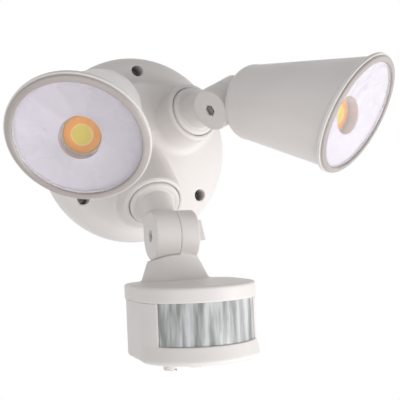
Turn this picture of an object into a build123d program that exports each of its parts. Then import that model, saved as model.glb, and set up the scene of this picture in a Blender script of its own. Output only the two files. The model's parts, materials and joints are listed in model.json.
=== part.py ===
"""Twin-head LED security light with a motion sensor, for an outside wall.

Millimetres. The wall is the plane y = 0, the light stands out towards -Y, +Z is up and +X is to
the right of someone facing the wall. The origin is the centre of the base's back face.
"""
from build123d import *
from math import atan2, cos, degrees, radians, sin, sqrt
import os

# ---------------------------------------------------------------- driving dimensions
# Round base
base_radius = 80.0          # rim at the wall
base_front_radius = 79.0    # rim where the dome starts, after a little draft
base_rim_depth = 21.4       # straight side of the base
dome_rise = 23.6            # crown of the dome above the rim
dome_crown_radius = 205.0   # the wide middle of the dome
cover_wall = 2.5
wall_plate_thickness = 3.0
gasket_thickness = 1.2
gasket_width = 3.6
plate_clearance = 0.4       # between the gasket's edge and the inside of the drafted rim
rim_draft = max(base_radius - base_front_radius, 0) / base_rim_depth    # none where the rim widens
wall_plate_radius = (
    base_radius - cover_wall - plate_clearance
    - rim_draft * (wall_plate_thickness + gasket_thickness)
)

# Screws that hold the cover to the wall plate
screw_circle_radius = 65.55
screw_angles = (90.0, -39.4, 219.4)
screw_recess_radius = 4.9
screw_post_radius = 7.4
screw_seat_height = 17.0    # above the wall
screw_head_radius = 3.9
screw_head_height = 2.6
screw_shank_radius = 2.0
screw_bore_clearance = 0.08
screw_drive_width = 1.1
screw_drive_depth = 1.4
screw_drive_share = 1.2     # length of the cross recess against the head's radius
screw_head_round = 1.0
screw_tip_height = 0.5      # above the wall

# Fixing to the wall
fixing_spacing = 84.0
fixing_hole_radius = 2.4
cable_entry_radius = 10.0
cable_entry_height = 30.0   # above the plate's centre
grommet_bore_radius = 4.0
grommet_lip = 2.5
grommet_lip_thickness = 1.6

# Inside the base
driver_width = 60.0
driver_length = 30.0
driver_height = 20.0
driver_corner = 3.0
driver_centre = (-4.0, -31.0)
terminal_size = (24.0, 12.0, 11.0)
terminal_centre = (32.0, 20.0)
terminal_ways = 3
terminal_screw_share = 0.3  # radius of a screw well against the pitch
terminal_wire_share = 0.2   # radius of a wire hole against the pitch
terminal_well_share = 0.5   # floor of a well against the height
terminal_wire_height = 0.3  # of a wire hole against the height

# Bosses that carry the three arms
upper_boss_angle = 33.84    # above the horizontal, seen from the front
upper_boss_reach = 46.63    # from the base's centre to the collar's centre
upper_boss_height = 62.66   # collar face above the wall
upper_boss_lean = 19.14     # outwards, from straight off the wall
lower_boss_drop = 48.92
lower_boss_height = 66.15
lower_boss_lean = 40.26
boss_radius = 24.3
boss_wall = 2.8
boss_end_wall = 4.0
shank_share = 1.1           # shank length against the base's whole depth
bridge_centre_height = 33.0
bridge_width = 42.0
bridge_front = 48.5
bridge_corner = 9.0
bridge_root = 14.0          # the bridge starts this high, inside the dome

# Swivel collars
collar_radius = 20.4
collar_recess_radius = 20.9
collar_recess_depth = 2.0
collar_rise = 3.2
collar_edge_round = 2.6
collar_gap = 0.25           # between the collar's underside and the recess floor
spigot_radius = 11.9
spigot_clearance = 0.08
spigot_wire_radius = 5.0
spigot_tail = 9.0           # spigot length behind the boss end wall
ring_nut_radius = 17.0
ring_nut_thickness = 4.5
ring_nut_gap = 0.25

# Upper knuckles, between arm and head
upper_knuckle_reach = 37.52
upper_knuckle_offset = 5.79
upper_ear_radius = 16.7
upper_pair_half_width = 17.7
upper_neck_root_radius = 14.5
upper_neck_tip_radius = 13.0
right_swivel_rest = 26.25
left_swivel_rest = -13.03
right_tilt_rest = -15.90    # head axis above or below the horizontal
left_tilt_rest = -21.00

# Lower knuckle, between arm and sensor
lower_knuckle_reach = 40.84
lower_ear_radius = 18.63
lower_pair_half_width = 17.1
lower_pair_offset = 2.9     # the pair of ears stands a little to the right of the collar
lower_seam_offset = 2.1
lower_neck_root_radius = 15.5
lower_neck_tip_radius = 13.0

# Both kinds of knuckle
ear_gap = 0.3               # between an arm's ear and the ear that turns on it
ear_edge_round = 1.5
ear_room = 0.6              # round the other piece's ear
neck_sink = 0.6             # how far the neck runs into the collar
neck_end_lean = 0.3         # how much of its lean the neck keeps where it meets the ear
bolt_radius = 2.5
bolt_clearance = 0.08
bolt_head_radius = 4.6
bolt_head_height = 3.0
bolt_head_round = 1.35
bolt_tip_reach = 0.6        # past the nut
nut_across_flats = 8.0
nut_thickness = 3.6
nut_pocket_depth = 5.5
nut_pocket_clearance = 0.15

# Lamp heads
head_axis_shift = -6.5      # head axis beside the knuckle's centre plane
head_back_start = 18.2      # back of the housing from the knuckle axis
head_back_radius = 17.0
head_back_round_width = 3.2
head_back_round_depth = 4.2
head_back_wall = 2.0
head_shoulder = 28.0        # where the cone starts
head_shoulder_radius = 29.5
head_rim_reach = 121.3      # centre of the rim from the knuckle axis
head_face_cut = 19.3        # the face looks this much further down than the axis
head_body_front_radius = 42.9
head_wall = 2.4
lug_inset = 2.5             # the lug behind the ear is this much narrower than the ear on each side
lug_sink = 3.0              # how far the lug runs into the housing's back
bezel_radius = 45.8         # widest part of the lip
bezel_depth = 5.6
bezel_back_radius = 43.3
bezel_floor = 1.2           # step behind the lens
bezel_bore_clearance = 0.1
bezel_lip_low = 1.6         # the widest part runs from here
bezel_lip_high = 2.6        # to here
bezel_groove_radius = 44.6
bezel_groove_low = 3.1
bezel_groove_high = 3.9
bezel_front_radius = 42.4
bezel_front_inner_radius = 40.2
bezel_front_bevel = 1.0
lens_radius = 42.2
lens_clearance = 0.2
lens_thickness = 2.0
lens_gasket_thickness = 0.6
reflector_rim_radius = 39.6
reflector_rim_gap = 0.3     # between the dish's rim and the lens
reflector_mouth_radius = 13.7
reflector_wall = 1.2
reflector_slant = 1.6       # wall along the head's axis against the wall across it
reflector_tube_depth = 8.6
reflector_tube_gap = 0.4    # between the tube and the LED board
reflector_bore_overlap = 0.01   # of the tube's bore into the dish's hollow
led_setback = 20.5          # LED board's front behind the rim's centre
led_phosphor_radius = 12.3
led_board_size = 34.0
led_board_thickness = 1.6
led_dome_height = 0.8
sink_radius_clearance = 4.0 # inside the housing's wall, whose cone leans
sink_plate_thickness = 5.0
sink_fin_length = 34.0
sink_fin_thickness = 2.2
sink_fins = 7
sink_fin_half_span = 24.0
sink_fin_inset = 6.0        # the fins end this far inside the plate's edge

# Sensor
sensor_tilt_rest = 0.9
sensor_centre_forward = 47.7
sensor_back_forward = -3.7
sensor_radius = 42.4
sensor_cap_overhang = 0.8
sensor_top_drop = 34.0
sensor_cap_depth = 10.8
sensor_window_depth = 28.9
sensor_bottom_drop = 86.2
sensor_wall = 2.2
sensor_corner = 23.5        # round back corners
sensor_edge_round = 1.6
sensor_tongue_gap = 0.15    # between the body's tongue and the inside of the cap
sensor_tongue_height = 3.0
window_half_angle = 57.0
window_lens_thickness = 1.0
window_setback = 0.9
window_gap = 0.2
window_angle_gap = 0.6
window_slot_depth = 5.4     # behind the body's face
neck_half_width = 27.5
neck_half_depth = 10.0
neck_foot_forward = 5.5
neck_top_half_width = 17.1
neck_top_half_depth = 12.5
neck_ear_clearance = 0.5
neck_top_sink = 7.0         # the neck ends this far inside the ear's edge
neck_foot_sink = 1.0        # and this far inside the cap
dial_radius = 6.4
dial_height = 3.9
dial_stem_radius = 2.0
dial_stem_clearance = 0.08
dial_gap = 0.3
dial_slot_width = 1.6
dial_slot_depth = 1.6
dial_edge_round = 0.8
dial_stem_reach = 4.0       # above the body's floor
dial_spots = ((-24.4, 66.0), (-5.7, 62.0))   # right of centre, forward of the knuckle axis

# Inside the sensor
sensor_board_drop = 62.0
board_thickness = 1.6
board_width = 50.0
board_depth = 46.0
board_forward = 28.0
board_post_radius = 3.2
board_post_inset = 5.0
element_radius = 4.6
element_height = 5.0
element_forward = 44.0
element_board_gap = 1.0
element_foot_start = 0.75   # back of the can's foot
element_foot_depth = 2.5
light_cell_radius = 2.6
light_cell_height = 3.0
light_cell_side = 14.0

# Wing lever on the sensor's knuckle
wing_hub_radius = 5.6
wing_hub_length = 3.4
wing_gap = 0.3
wing_up = 10.8
wing_down = 5.2
wing_thickness = 3.6
wing_inner_reach = 6.4
wing_outer_reach = 9.6
wing_root = 0.4             # the wing starts this far from the hub's face
wing_corner = 1.2
wing_bolt_share = 0.6       # how much of the hub the bolt fills
wing_bore_share = 0.7       # how much of the hub is bored

# Cutting shapes run this far past what they cut
overshoot = 1.0
bolt_cut_reach = 60.0       # half length of the cuts along a knuckle's bolt


# ---------------------------------------------------------------- small helpers
def rod(radius, low, high):
    """A round bar along local z."""
    return Pos(0, 0, low) * Cylinder(radius, high - low, align=(Align.CENTER, Align.CENTER, Align.MIN))


def ring(outer, inner, low, high):
    """A tube along local z."""
    return rod(outer, low, high) - rod(inner, low - overshoot, high + overshoot)


def cross_rod(radius, low, high):
    """A round bar along local x."""
    return Rot(0, 90, 0) * rod(radius, low, high)


def slab(width, depth, low, high):
    """A rectangular block, centred on local z."""
    return Pos(0, 0, low) * Box(width, depth, high - low, align=(Align.CENTER, Align.CENTER, Align.MIN))


def spun(points):
    """The solid that a closed outline of (radius, z) points sweeps round local z."""
    return revolve(Plane.XZ * make_face(Polyline(*points, close=True)), Axis.Z)


def top_edges(shape):
    """The edges of the highest face along local z."""
    return shape.faces().sort_by(Axis.Z)[-1].edges()


def turned(vector, axis, degrees):
    return vector.rotate(Axis((0, 0, 0), axis), degrees)


def save(name, shape):
    export_step(shape, f"parts/{name}.step")


# ---------------------------------------------------------------- frames
UP = Vector(0, 0, 1)
OUT = Vector(0, -1, 0)
RIGHT = Vector(1, 0, 0)

# Local z stands out from the wall and local y is up.
WALL = Plane(origin=(0, 0, 0), x_dir=RIGHT, z_dir=OUT)


def upper_boss_frame(side, swivel):
    """Collar frame of an upper boss: z along the collar's axis, x along the knuckle bolt."""
    outward = Vector(side * cos(radians(upper_boss_angle)), 0, sin(radians(upper_boss_angle)))
    normal = OUT * cos(radians(upper_boss_lean)) + outward * sin(radians(upper_boss_lean))
    centre = outward * upper_boss_reach + OUT * upper_boss_height
    level = normal.cross(UP).normalized()
    return Plane(origin=centre, x_dir=turned(level, normal, swivel), z_dir=normal)


def head_frame(arm, tilt):
    """Head frame: origin at the knuckle's centre, x along its bolt, z along the head's axis."""
    bolt = arm.x_dir
    centre = arm.from_local_coords(Vector(0, upper_knuckle_offset, upper_knuckle_reach))
    level = UP.cross(bolt).normalized()
    if level.dot(arm.z_dir) < 0:
        level = level * -1
    lift = bolt.cross(level)
    axis = level * cos(radians(tilt)) + lift * sin(radians(tilt))
    return Plane(origin=centre, x_dir=bolt, z_dir=axis)


LOWER_NORMAL = OUT * cos(radians(lower_boss_lean)) - UP * sin(radians(lower_boss_lean))
SENSOR_ARM = Plane(
    origin=OUT * lower_boss_height - UP * lower_boss_drop, x_dir=RIGHT, z_dir=LOWER_NORMAL
)
LOWER_KNUCKLE = SENSOR_ARM.origin + LOWER_NORMAL * lower_knuckle_reach + RIGHT * lower_pair_offset
ARM = {
    "right": upper_boss_frame(1, right_swivel_rest),
    "left": upper_boss_frame(-1, left_swivel_rest),
}
HEAD = {
    "right": head_frame(ARM["right"], right_tilt_rest),
    "left": head_frame(ARM["left"], left_tilt_rest),
}
# Sensor frame: x right, y forward, z down the sensor, tipped a little forward.
SENSOR = Plane(origin=LOWER_KNUCKLE, x_dir=RIGHT, z_dir=turned(UP * -1, RIGHT, sensor_tilt_rest))


# ---------------------------------------------------------------- base
def dome(inset, low):
    """The base's body, shrunk by an inset: a drafted rim, a rounded shoulder and a wide crown.

    The shoulder's radius is the one that meets both the rim and the crown without a corner.
    """
    rise = dome_rise
    shoulder = (2 * dome_crown_radius * rise - base_front_radius**2 - rise**2) / (
        2 * (dome_crown_radius - base_front_radius)
    )
    shoulder_x = base_front_radius - shoulder
    crown_z = base_rim_depth + rise - dome_crown_radius
    meeting = degrees(atan2(dome_crown_radius - rise, shoulder_x))
    top = base_rim_depth + rise - inset
    outline = [
        Line((0, low), (base_radius - inset, low)),
        Line((base_radius - inset, low), (base_front_radius - inset, base_rim_depth)),
        CenterArc((shoulder_x, base_rim_depth), shoulder - inset, 0, meeting),
        CenterArc((0, crown_z), dome_crown_radius - inset, meeting, 90 - meeting),
        Line((0, top), (0, low)),
    ]
    return revolve(Plane.XZ * make_face(outline), Axis.Z)


def boss_frames():
    """The three collar frames, seen in the wall's own frame."""
    frames = []
    for frame in (ARM["right"], ARM["left"], SENSOR_ARM):
        origin = WALL.to_local_coords(frame.origin)
        tip = WALL.to_local_coords(frame.origin + frame.z_dir)
        side = WALL.to_local_coords(frame.origin + frame.x_dir)
        frames.append(Plane(origin=origin, x_dir=side - origin, z_dir=tip - origin))
    return frames


def boss(frame, radius, end_drop, depth):
    """A fat tube along the collar's axis, with a foot that runs straight back to the wall."""
    end = frame.offset(-end_drop)
    face = end * Circle(radius)
    foot = extrude(face, amount=depth, dir=(0, 0, -1))
    shank = end * rod(radius, -depth * shank_share, 0)
    return foot + shank


def bridge(side, inset):
    """Half of the raised bridge that joins the two upper bosses."""
    low = bridge_root
    middle = Plane(origin=(0, bridge_centre_height, 0), x_dir=(0, 1, 0), z_dir=(side, 0, 0))
    reach = upper_boss_reach * cos(radians(upper_boss_angle))
    end_height = upper_boss_reach * sin(radians(upper_boss_angle))
    end = Plane(origin=(side * reach, end_height, 0), x_dir=(0, 1, 0), z_dir=(side, 0, 0))
    inner = bridge_width / 2 - inset
    outer = boss_radius - inset
    front = bridge_front - inset
    sections = []
    for plane, half in ((middle, inner), (end, outer)):
        block = Pos(0, side * (low + front) / 2) * RectangleRounded(2 * half, front - low, bridge_corner)
        sections.append(plane * block)
    return loft(sections)


def base_cover():
    """Domed cover: one wall thick, with its bosses, bridge, screw posts and collar seats."""
    frames = boss_frames()
    shell = dome(0.0, 0.0)
    hollow = dome(cover_wall, -overshoot)
    for side in (1, -1):
        shell += bridge(side, 0.0)
        hollow += bridge(side, cover_wall)
    foot = base_rim_depth + dome_rise
    for frame in frames:
        shell += boss(frame, boss_radius, 0.0, foot)
        hollow += boss(frame, boss_radius - boss_wall, boss_end_wall + collar_recess_depth, foot)
    spots = [Rot(0, 0, angle) * Pos(screw_circle_radius, 0, 0) for angle in screw_angles]
    for spot in spots:
        hollow -= spot * rod(screw_post_radius, wall_plate_thickness, foot)
    cover = shell - hollow
    for frame in frames:
        cover -= frame * rod(collar_recess_radius, -collar_recess_depth, collar_rise)
        end_wall = collar_recess_depth + boss_end_wall
        cover -= frame * rod(spigot_radius + spigot_clearance, -end_wall - spigot_tail, collar_rise)
    for spot in spots:
        cover -= spot * rod(screw_recess_radius, screw_seat_height, foot)
        cover -= spot * rod(screw_shank_radius + screw_bore_clearance, 0, foot)
    return cover


def through_plate(radius):
    """Cutting rod through the wall plate."""
    return rod(radius, -overshoot, wall_plate_thickness + overshoot)


def wall_plate():
    """Flat disc that is screwed to the wall, with the cable's way in and the screw holes."""
    plate = rod(wall_plate_radius, 0, wall_plate_thickness)
    plate -= Pos(0, cable_entry_height, 0) * through_plate(cable_entry_radius)
    for side in (1, -1):
        plate -= Pos(side * fixing_spacing / 2, 0, 0) * through_plate(fixing_hole_radius)
    for angle in screw_angles:
        spot = Rot(0, 0, angle) * Pos(screw_circle_radius, 0, 0)
        plate -= spot * through_plate(screw_shank_radius + screw_bore_clearance)
    return plate


def cable_grommet():
    """Rubber ring in the cable entry, with a lip on the inside of the plate."""
    lip_top = wall_plate_thickness + grommet_lip_thickness
    body = rod(cable_entry_radius, 0, wall_plate_thickness)
    body += rod(cable_entry_radius + grommet_lip, wall_plate_thickness, lip_top)
    body -= rod(grommet_bore_radius, -overshoot, lip_top + overshoot)
    return Pos(0, cable_entry_height, 0) * body


def cover_gasket():
    """Flat foam ring on the wall plate's front, inside the cover's rim."""
    low = wall_plate_thickness
    return ring(wall_plate_radius, wall_plate_radius - gasket_width, low, low + gasket_thickness)


def cover_screws():
    """Three pan-head screws with a cross recess, as separate solids of one group."""
    screws = []
    for angle in screw_angles:
        spot = Rot(0, 0, angle) * Pos(screw_circle_radius, 0, 0)
        low = screw_seat_height
        head = rod(screw_head_radius, low, low + screw_head_height)
        head = fillet(top_edges(head), screw_head_round)
        screw = head + rod(screw_shank_radius, screw_tip_height, low)
        slot_low = low + screw_head_height - screw_drive_depth
        for turn in (0, 90):
            length = screw_head_radius * screw_drive_share
            bar = slab(screw_drive_width, length, slot_low, low + 2 * screw_head_height)
            screw -= Rot(0, 0, turn) * bar
        screws.append(spot * screw)
    return Compound(children=screws)


def driver_case():
    """Potted LED driver, standing on the wall plate."""
    low = wall_plate_thickness
    block = slab(driver_width, driver_length, low, low + driver_height)
    block = fillet(block.edges().filter_by(Axis.Z), driver_corner)
    return Pos(*driver_centre, 0) * block


def terminal_block():
    """Screw terminals for the supply, with a well over each screw."""
    width, depth, height = terminal_size
    low = wall_plate_thickness
    block = slab(width, depth, low, low + height)
    pitch = width / terminal_ways
    for way in range(terminal_ways):
        x = (way - (terminal_ways - 1) / 2) * pitch
        well_low = low + height * terminal_well_share
        block -= Pos(x, 0, 0) * rod(pitch * terminal_screw_share, well_low, low + height + overshoot)
        wire = Rot(90, 0, 0) * rod(pitch * terminal_wire_share, -depth, depth)
        block -= Pos(x, 0, low + height * terminal_wire_height) * wire
    return Pos(*terminal_centre, 0) * block


# ---------------------------------------------------------------- arms
def collar():
    """Round swivel plate with its spigot, in the collar frame."""
    floor = -collar_recess_depth + collar_gap
    plate = rod(collar_radius, floor, collar_rise)
    plate = fillet(top_edges(plate), collar_edge_round)
    tail = -collar_recess_depth - boss_end_wall - spigot_tail
    return plate + rod(spigot_radius, tail, floor)


def neck(root_radius, tip_depth, tip, low, high):
    """Neck from the collar to an ear: round at the collar, flattened to the ear's width."""
    x, y, z = tip
    half_width = (high - low) / 2
    root = Plane.XY.offset(collar_rise - neck_sink) * Circle(root_radius)
    waist = Plane(origin=(x / 2, y / 2, z / 2), x_dir=(1, 0, 0), z_dir=(0, y / 2, z))
    middle = waist * Ellipse((root_radius + half_width) / 2, (root_radius + tip_depth) / 2)
    tip_plane = Plane(origin=(x, y, z), x_dir=(1, 0, 0), z_dir=(0, y * neck_end_lean, z))
    return loft([root, middle, tip_plane * Ellipse(half_width, tip_depth)])


def ear(radius, low, high, rounded_high):
    """A flat round ear across the bolt, its outer rim rounded."""
    body = cross_rod(radius, low, high)
    face = body.faces().sort_by(Axis.X)[-1 if rounded_high else 0]
    return fillet(face.edges(), ear_edge_round)


def nut_pocket(face, depth, outward):
    """Hexagonal pocket in an ear's outer face, with the bolt hole on its axis."""
    flats = nut_across_flats + 2 * nut_pocket_clearance
    hexagon = RegularPolygon(flats / 2, 6, major_radius=False)
    plane = Plane(origin=(face, 0, 0), x_dir=(0, 1, 0), z_dir=(outward, 0, 0))
    return extrude(plane * hexagon, -depth) + extrude(plane * hexagon, overshoot)


def wire_way(length):
    """Hole for the leads, up the spigot and into the neck."""
    tail = collar_recess_depth + boss_end_wall + spigot_tail
    return rod(spigot_wire_radius, -tail - overshoot, length)


def head_arm():
    """Upper arm in the collar frame: its ear is on the +x side of the knuckle's centre plane."""
    centre = Vector(0, upper_knuckle_offset, upper_knuckle_reach)
    low = ear_gap / 2
    high = upper_pair_half_width
    tip = ((low + high) / 2, centre.Y, centre.Z)
    arm = collar()
    knuckle = Pos(centre)
    room = knuckle * cross_rod(upper_ear_radius + ear_room, -bolt_cut_reach, low)
    arm += neck(upper_neck_root_radius, upper_neck_tip_radius, tip, low, high)
    arm -= room
    arm += knuckle * ear(upper_ear_radius, low, high, True)
    arm -= knuckle * nut_pocket(high, nut_pocket_depth, 1)
    arm -= knuckle * cross_rod(bolt_radius + bolt_clearance, -bolt_cut_reach, high + overshoot)
    return arm - wire_way(collar_rise)


def sensor_arm():
    """Lower arm in its collar frame: its ear is on the -x side of the knuckle."""
    centre = Vector(lower_pair_offset, 0, lower_knuckle_reach)
    low = -lower_pair_half_width
    high = lower_seam_offset - ear_gap / 2
    tip = (lower_pair_offset + (low + high) / 2, centre.Y, centre.Z)
    arm = collar()
    knuckle = Pos(centre)
    room = knuckle * cross_rod(lower_ear_radius + ear_room, high, bolt_cut_reach)
    arm += neck(lower_neck_root_radius, lower_neck_tip_radius, tip, low, high)
    arm -= room
    arm += knuckle * ear(lower_ear_radius, low, high, False)
    arm -= knuckle * nut_pocket(low, nut_pocket_depth, -1)
    arm -= knuckle * cross_rod(bolt_radius + bolt_clearance, low - overshoot, bolt_cut_reach)
    return arm - wire_way(collar_rise)


def ring_nut():
    """Ring on the spigot's tail that holds the collar in its boss."""
    top = -collar_recess_depth - boss_end_wall - ring_nut_gap
    return ring(ring_nut_radius, spigot_radius, top - ring_nut_thickness, top)


def hex_nut(face, outward):
    """Nut in the bottom of its pocket; the bolt passes through it."""
    floor = face - outward * nut_pocket_depth
    hexagon = RegularPolygon(nut_across_flats / 2, 6, major_radius=False)
    plane = Plane(origin=(floor, 0, 0), x_dir=(0, 1, 0), z_dir=(outward, 0, 0))
    nut = extrude(plane * hexagon, nut_thickness)
    return nut - cross_rod(bolt_radius, -bolt_cut_reach, bolt_cut_reach)


def head_bolt():
    """Knuckle bolt of a head, in the head frame: its head is on the -x side."""
    outer = -upper_pair_half_width - ear_gap / 2
    tip = upper_pair_half_width - nut_pocket_depth + nut_thickness + bolt_tip_reach
    head = cross_rod(bolt_head_radius, outer - bolt_head_height, outer)
    head = fillet(head.faces().sort_by(Axis.X)[0].edges(), bolt_head_round)
    bolt = head + cross_rod(bolt_radius, outer, tip)
    for turn in (0, 90):
        bar = Box(screw_drive_depth * 2, screw_drive_width, bolt_head_radius * screw_drive_share)
        bolt -= Pos(outer - bolt_head_height, 0, 0) * (Rot(turn, 0, 0) * bar)
    return bolt


def sensor_bolt():
    """Knuckle bolt of the sensor; the wing lever turns on its right-hand end."""
    low = -lower_pair_half_width + nut_pocket_depth - nut_thickness - bolt_tip_reach
    high = lower_pair_half_width + wing_gap + wing_hub_length * wing_bolt_share
    return cross_rod(bolt_radius, low, high)


def wing_lever():
    """Thumb lever on the knuckle bolt: a hub and a slanted wing."""
    start = lower_pair_half_width + wing_gap
    hub = cross_rod(wing_hub_radius, start, start + wing_hub_length)
    outline = Polyline(
        (start + wing_root, -wing_down),
        (start + wing_outer_reach, -wing_down),
        (start + wing_inner_reach, wing_up),
        (start + wing_root, wing_up),
        close=True,
    )
    blade = extrude(Plane.XZ * make_face(outline), wing_thickness / 2, both=True)
    blade = fillet(blade.edges().filter_by(Axis.Y), wing_corner)
    bore = cross_rod(bolt_radius + bolt_clearance, 0, start + wing_hub_length * wing_bore_share)
    return hub + blade - bore


# ---------------------------------------------------------------- lamp heads
def face_plane(setback):
    """Plane of the head's oblique face, in the head frame, moved back along its own normal."""
    normal = Vector(0, sin(radians(head_face_cut)), cos(radians(head_face_cut)))
    origin = Vector(head_axis_shift, 0, head_rim_reach) - normal * setback
    return Plane(origin=origin, x_dir=(1, 0, 0), z_dir=normal)


def head_cone(shoulder_radius, front_radius, shoulder, setback):
    """Cone from a round shoulder to the oblique round face."""
    back = Plane(origin=(head_axis_shift, 0, shoulder), x_dir=(1, 0, 0), z_dir=(0, 0, 1))
    return loft([back * Circle(shoulder_radius), face_plane(setback) * Circle(front_radius)])


def head_housing():
    """Die-cast body: ear, rounded back, cone and oblique flange."""
    axis = Pos(head_axis_shift, 0, 0)
    back = spun([
        (0, head_back_start),
        (head_back_radius, head_back_start),
        (head_shoulder_radius - head_back_round_width, head_back_start + head_back_round_depth),
        (head_shoulder_radius, head_shoulder),
        (0, head_shoulder),
    ])
    body = axis * back
    body += head_cone(head_shoulder_radius, head_body_front_radius, head_shoulder, bezel_depth)
    low = -upper_pair_half_width
    high = -ear_gap / 2
    body += ear(upper_ear_radius, low, high, False)
    lug = slab(high - low, 2 * (upper_ear_radius - lug_inset), 0, head_back_start + lug_sink)
    body += Pos((low + high) / 2, 0, 0) * lug
    inner_start = head_shoulder + head_back_wall
    cavity = head_cone(
        head_shoulder_radius - head_wall, head_body_front_radius - head_wall, inner_start, bezel_depth
    )
    return body - cavity - cross_rod(bolt_radius + bolt_clearance, -bolt_cut_reach, bolt_cut_reach)


def lens_heights():
    """Underside and front of the lens, above the bezel's back plane."""
    low = bezel_floor + lens_gasket_thickness
    return low, low + lens_thickness


def bezel():
    """Front ring that clamps the lens to the flange: a wide lip, a groove and a sloping front."""
    bore = head_body_front_radius - head_wall + bezel_bore_clearance
    lens_front = lens_heights()[1]
    outline = [
        (bore, 0),
        (bezel_back_radius, 0),
        (bezel_radius, bezel_lip_low),
        (bezel_radius, bezel_lip_high),
        (bezel_groove_radius, bezel_groove_low),
        (bezel_groove_radius, bezel_groove_high),
        (bezel_front_radius, bezel_depth),
        (bezel_front_inner_radius + bezel_front_bevel, bezel_depth),
        (bezel_front_inner_radius, bezel_depth - bezel_front_bevel),
        (bezel_front_inner_radius, lens_front),
        (lens_radius + lens_clearance, lens_front),
        (lens_radius + lens_clearance, bezel_floor),
        (bore, bezel_floor),
    ]
    return face_plane(bezel_depth) * spun(outline)


def lens():
    """Flat clear cover, held behind the bezel's front."""
    return face_plane(bezel_depth) * rod(lens_radius, *lens_heights())


def lens_gasket():
    """Soft ring between the lens and the bezel's back step."""
    inner = head_body_front_radius - head_wall + bezel_bore_clearance
    return face_plane(bezel_depth) * ring(lens_radius, inner, bezel_floor, lens_heights()[0])


def led_plane(forward):
    """Plane across the head's axis, a given distance in front of the LED board's front."""
    reach = head_rim_reach - led_setback + forward
    return Plane(origin=(head_axis_shift, 0, reach), x_dir=(1, 0, 0), z_dir=(0, 0, 1))


def reflector():
    """White reflector: a short tube round the LED and a wide dish that meets the oblique lens."""
    slant = reflector_wall * reflector_slant
    rim_setback = bezel_depth - lens_heights()[0] + reflector_rim_gap
    rim, back_rim = face_plane(rim_setback), face_plane(rim_setback + slant)
    mouth, back_mouth = led_plane(reflector_tube_depth), led_plane(reflector_tube_depth - slant)
    outer_mouth = reflector_mouth_radius + reflector_wall
    inner_rim = reflector_rim_radius - reflector_wall
    inner_dish = loft([mouth * Circle(reflector_mouth_radius), rim * Circle(inner_rim)])
    outer_dish = loft([back_mouth * Circle(outer_mouth), back_rim * Circle(reflector_rim_radius)])
    tube = led_plane(0) * rod(outer_mouth, reflector_tube_gap, reflector_tube_depth)
    dish = outer_dish + rim * rod(reflector_rim_radius, -slant, 0) + tube
    dish -= inner_dish
    bore_top = reflector_tube_depth + reflector_bore_overlap
    return dish - led_plane(0) * rod(reflector_mouth_radius, -overshoot, bore_top)


def led_board():
    """Square ceramic board of the LED."""
    return led_plane(0) * slab(led_board_size, led_board_size, -led_board_thickness, 0)


def led_phosphor():
    """Round phosphor dome on the board."""
    return led_plane(0) * rod(led_phosphor_radius, 0, led_dome_height)


def cone_radius(z):
    """Outer radius of the housing's cone near the head's axis, at a height along it."""
    span = head_rim_reach - bezel_depth - head_shoulder
    share = (z - head_shoulder) / span
    return head_shoulder_radius + share * (head_body_front_radius - head_shoulder_radius)


def heat_sink():
    """Plate behind the LED with fins that run back towards the knuckle."""
    top = head_rim_reach - led_setback - led_board_thickness
    low = top - sink_plate_thickness
    radius = cone_radius(low) - head_wall - sink_radius_clearance
    sink = rod(radius, low, top)
    pitch = 2 * sink_fin_half_span / (sink_fins - 1)
    for fin in range(sink_fins):
        x = fin * pitch - sink_fin_half_span
        reach = sqrt((radius - sink_fin_inset) ** 2 - x**2)
        sink += Pos(x, 0, 0) * slab(sink_fin_thickness, 2 * reach, low - sink_fin_length, low)
    return Pos(head_axis_shift, 0, 0) * sink


# ---------------------------------------------------------------- sensor
def d_outline(grow):
    """Plan of the sensor: a half circle in front, straight sides and a back with round corners."""
    radius = sensor_radius + grow
    back = sensor_back_forward - grow
    centre = sensor_centre_forward
    outline = [
        CenterArc((0, centre), radius, 0, 180),
        Line((-radius, centre), (-radius, back)),
        Line((-radius, back), (radius, back)),
        Line((radius, back), (radius, centre)),
    ]
    face = make_face(outline)
    rear = face.vertices().sort_by(Axis.Y)[:2]
    return fillet(rear, sensor_corner + grow)


def d_block(grow, low, high):
    """The sensor's plan, grown all round and drawn down between two heights."""
    return Pos(0, 0, low) * extrude(d_outline(grow), high - low)


def sensor_ear_span():
    """The sensor's ear, from the seam to the right-hand face."""
    return lower_seam_offset + ear_gap / 2, lower_pair_half_width


def sensor_cap():
    """Neck, ear and top cover of the sensor in one moulding."""
    top = sensor_top_drop
    skirt = top + sensor_cap_depth
    cover = d_block(sensor_cap_overhang, top, skirt)
    cover = fillet(cover.faces().sort_by(Axis.Z)[0].edges(), sensor_edge_round)
    foot = Pos(0, neck_foot_forward, top + neck_foot_sink) * Ellipse(neck_half_width, neck_half_depth)
    head_drop = lower_ear_radius - neck_top_sink
    head = Pos(0, 0, head_drop) * Ellipse(neck_top_half_width, neck_top_half_depth)
    low, high = sensor_ear_span()
    cone = loft([foot, head]) - cross_rod(lower_ear_radius + neck_ear_clearance, -bolt_cut_reach, low)
    cap = cover + cone + ear(lower_ear_radius, low, high, True)
    cap -= d_block(-sensor_wall, top + sensor_wall, skirt + overshoot)
    return cap - cross_rod(bolt_radius + bolt_clearance, -bolt_cut_reach, bolt_cut_reach)


def window_sector(radius, inner, low, high, half_angle):
    """Part of a round wall about the front half circle's centre."""
    centre = Pos(0, sensor_centre_forward, 0)
    far = 2 * radius
    side = radians(90 - half_angle)
    wedge = make_face(Polyline(
        (0, 0), (far * cos(side), far * sin(side)), (far, far), (-far, far),
        (-far * cos(side), far * sin(side)), close=True,
    ))
    return centre * ring(radius, inner, low, high) & centre * (Pos(0, 0, low) * extrude(wedge, high - low))


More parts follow.
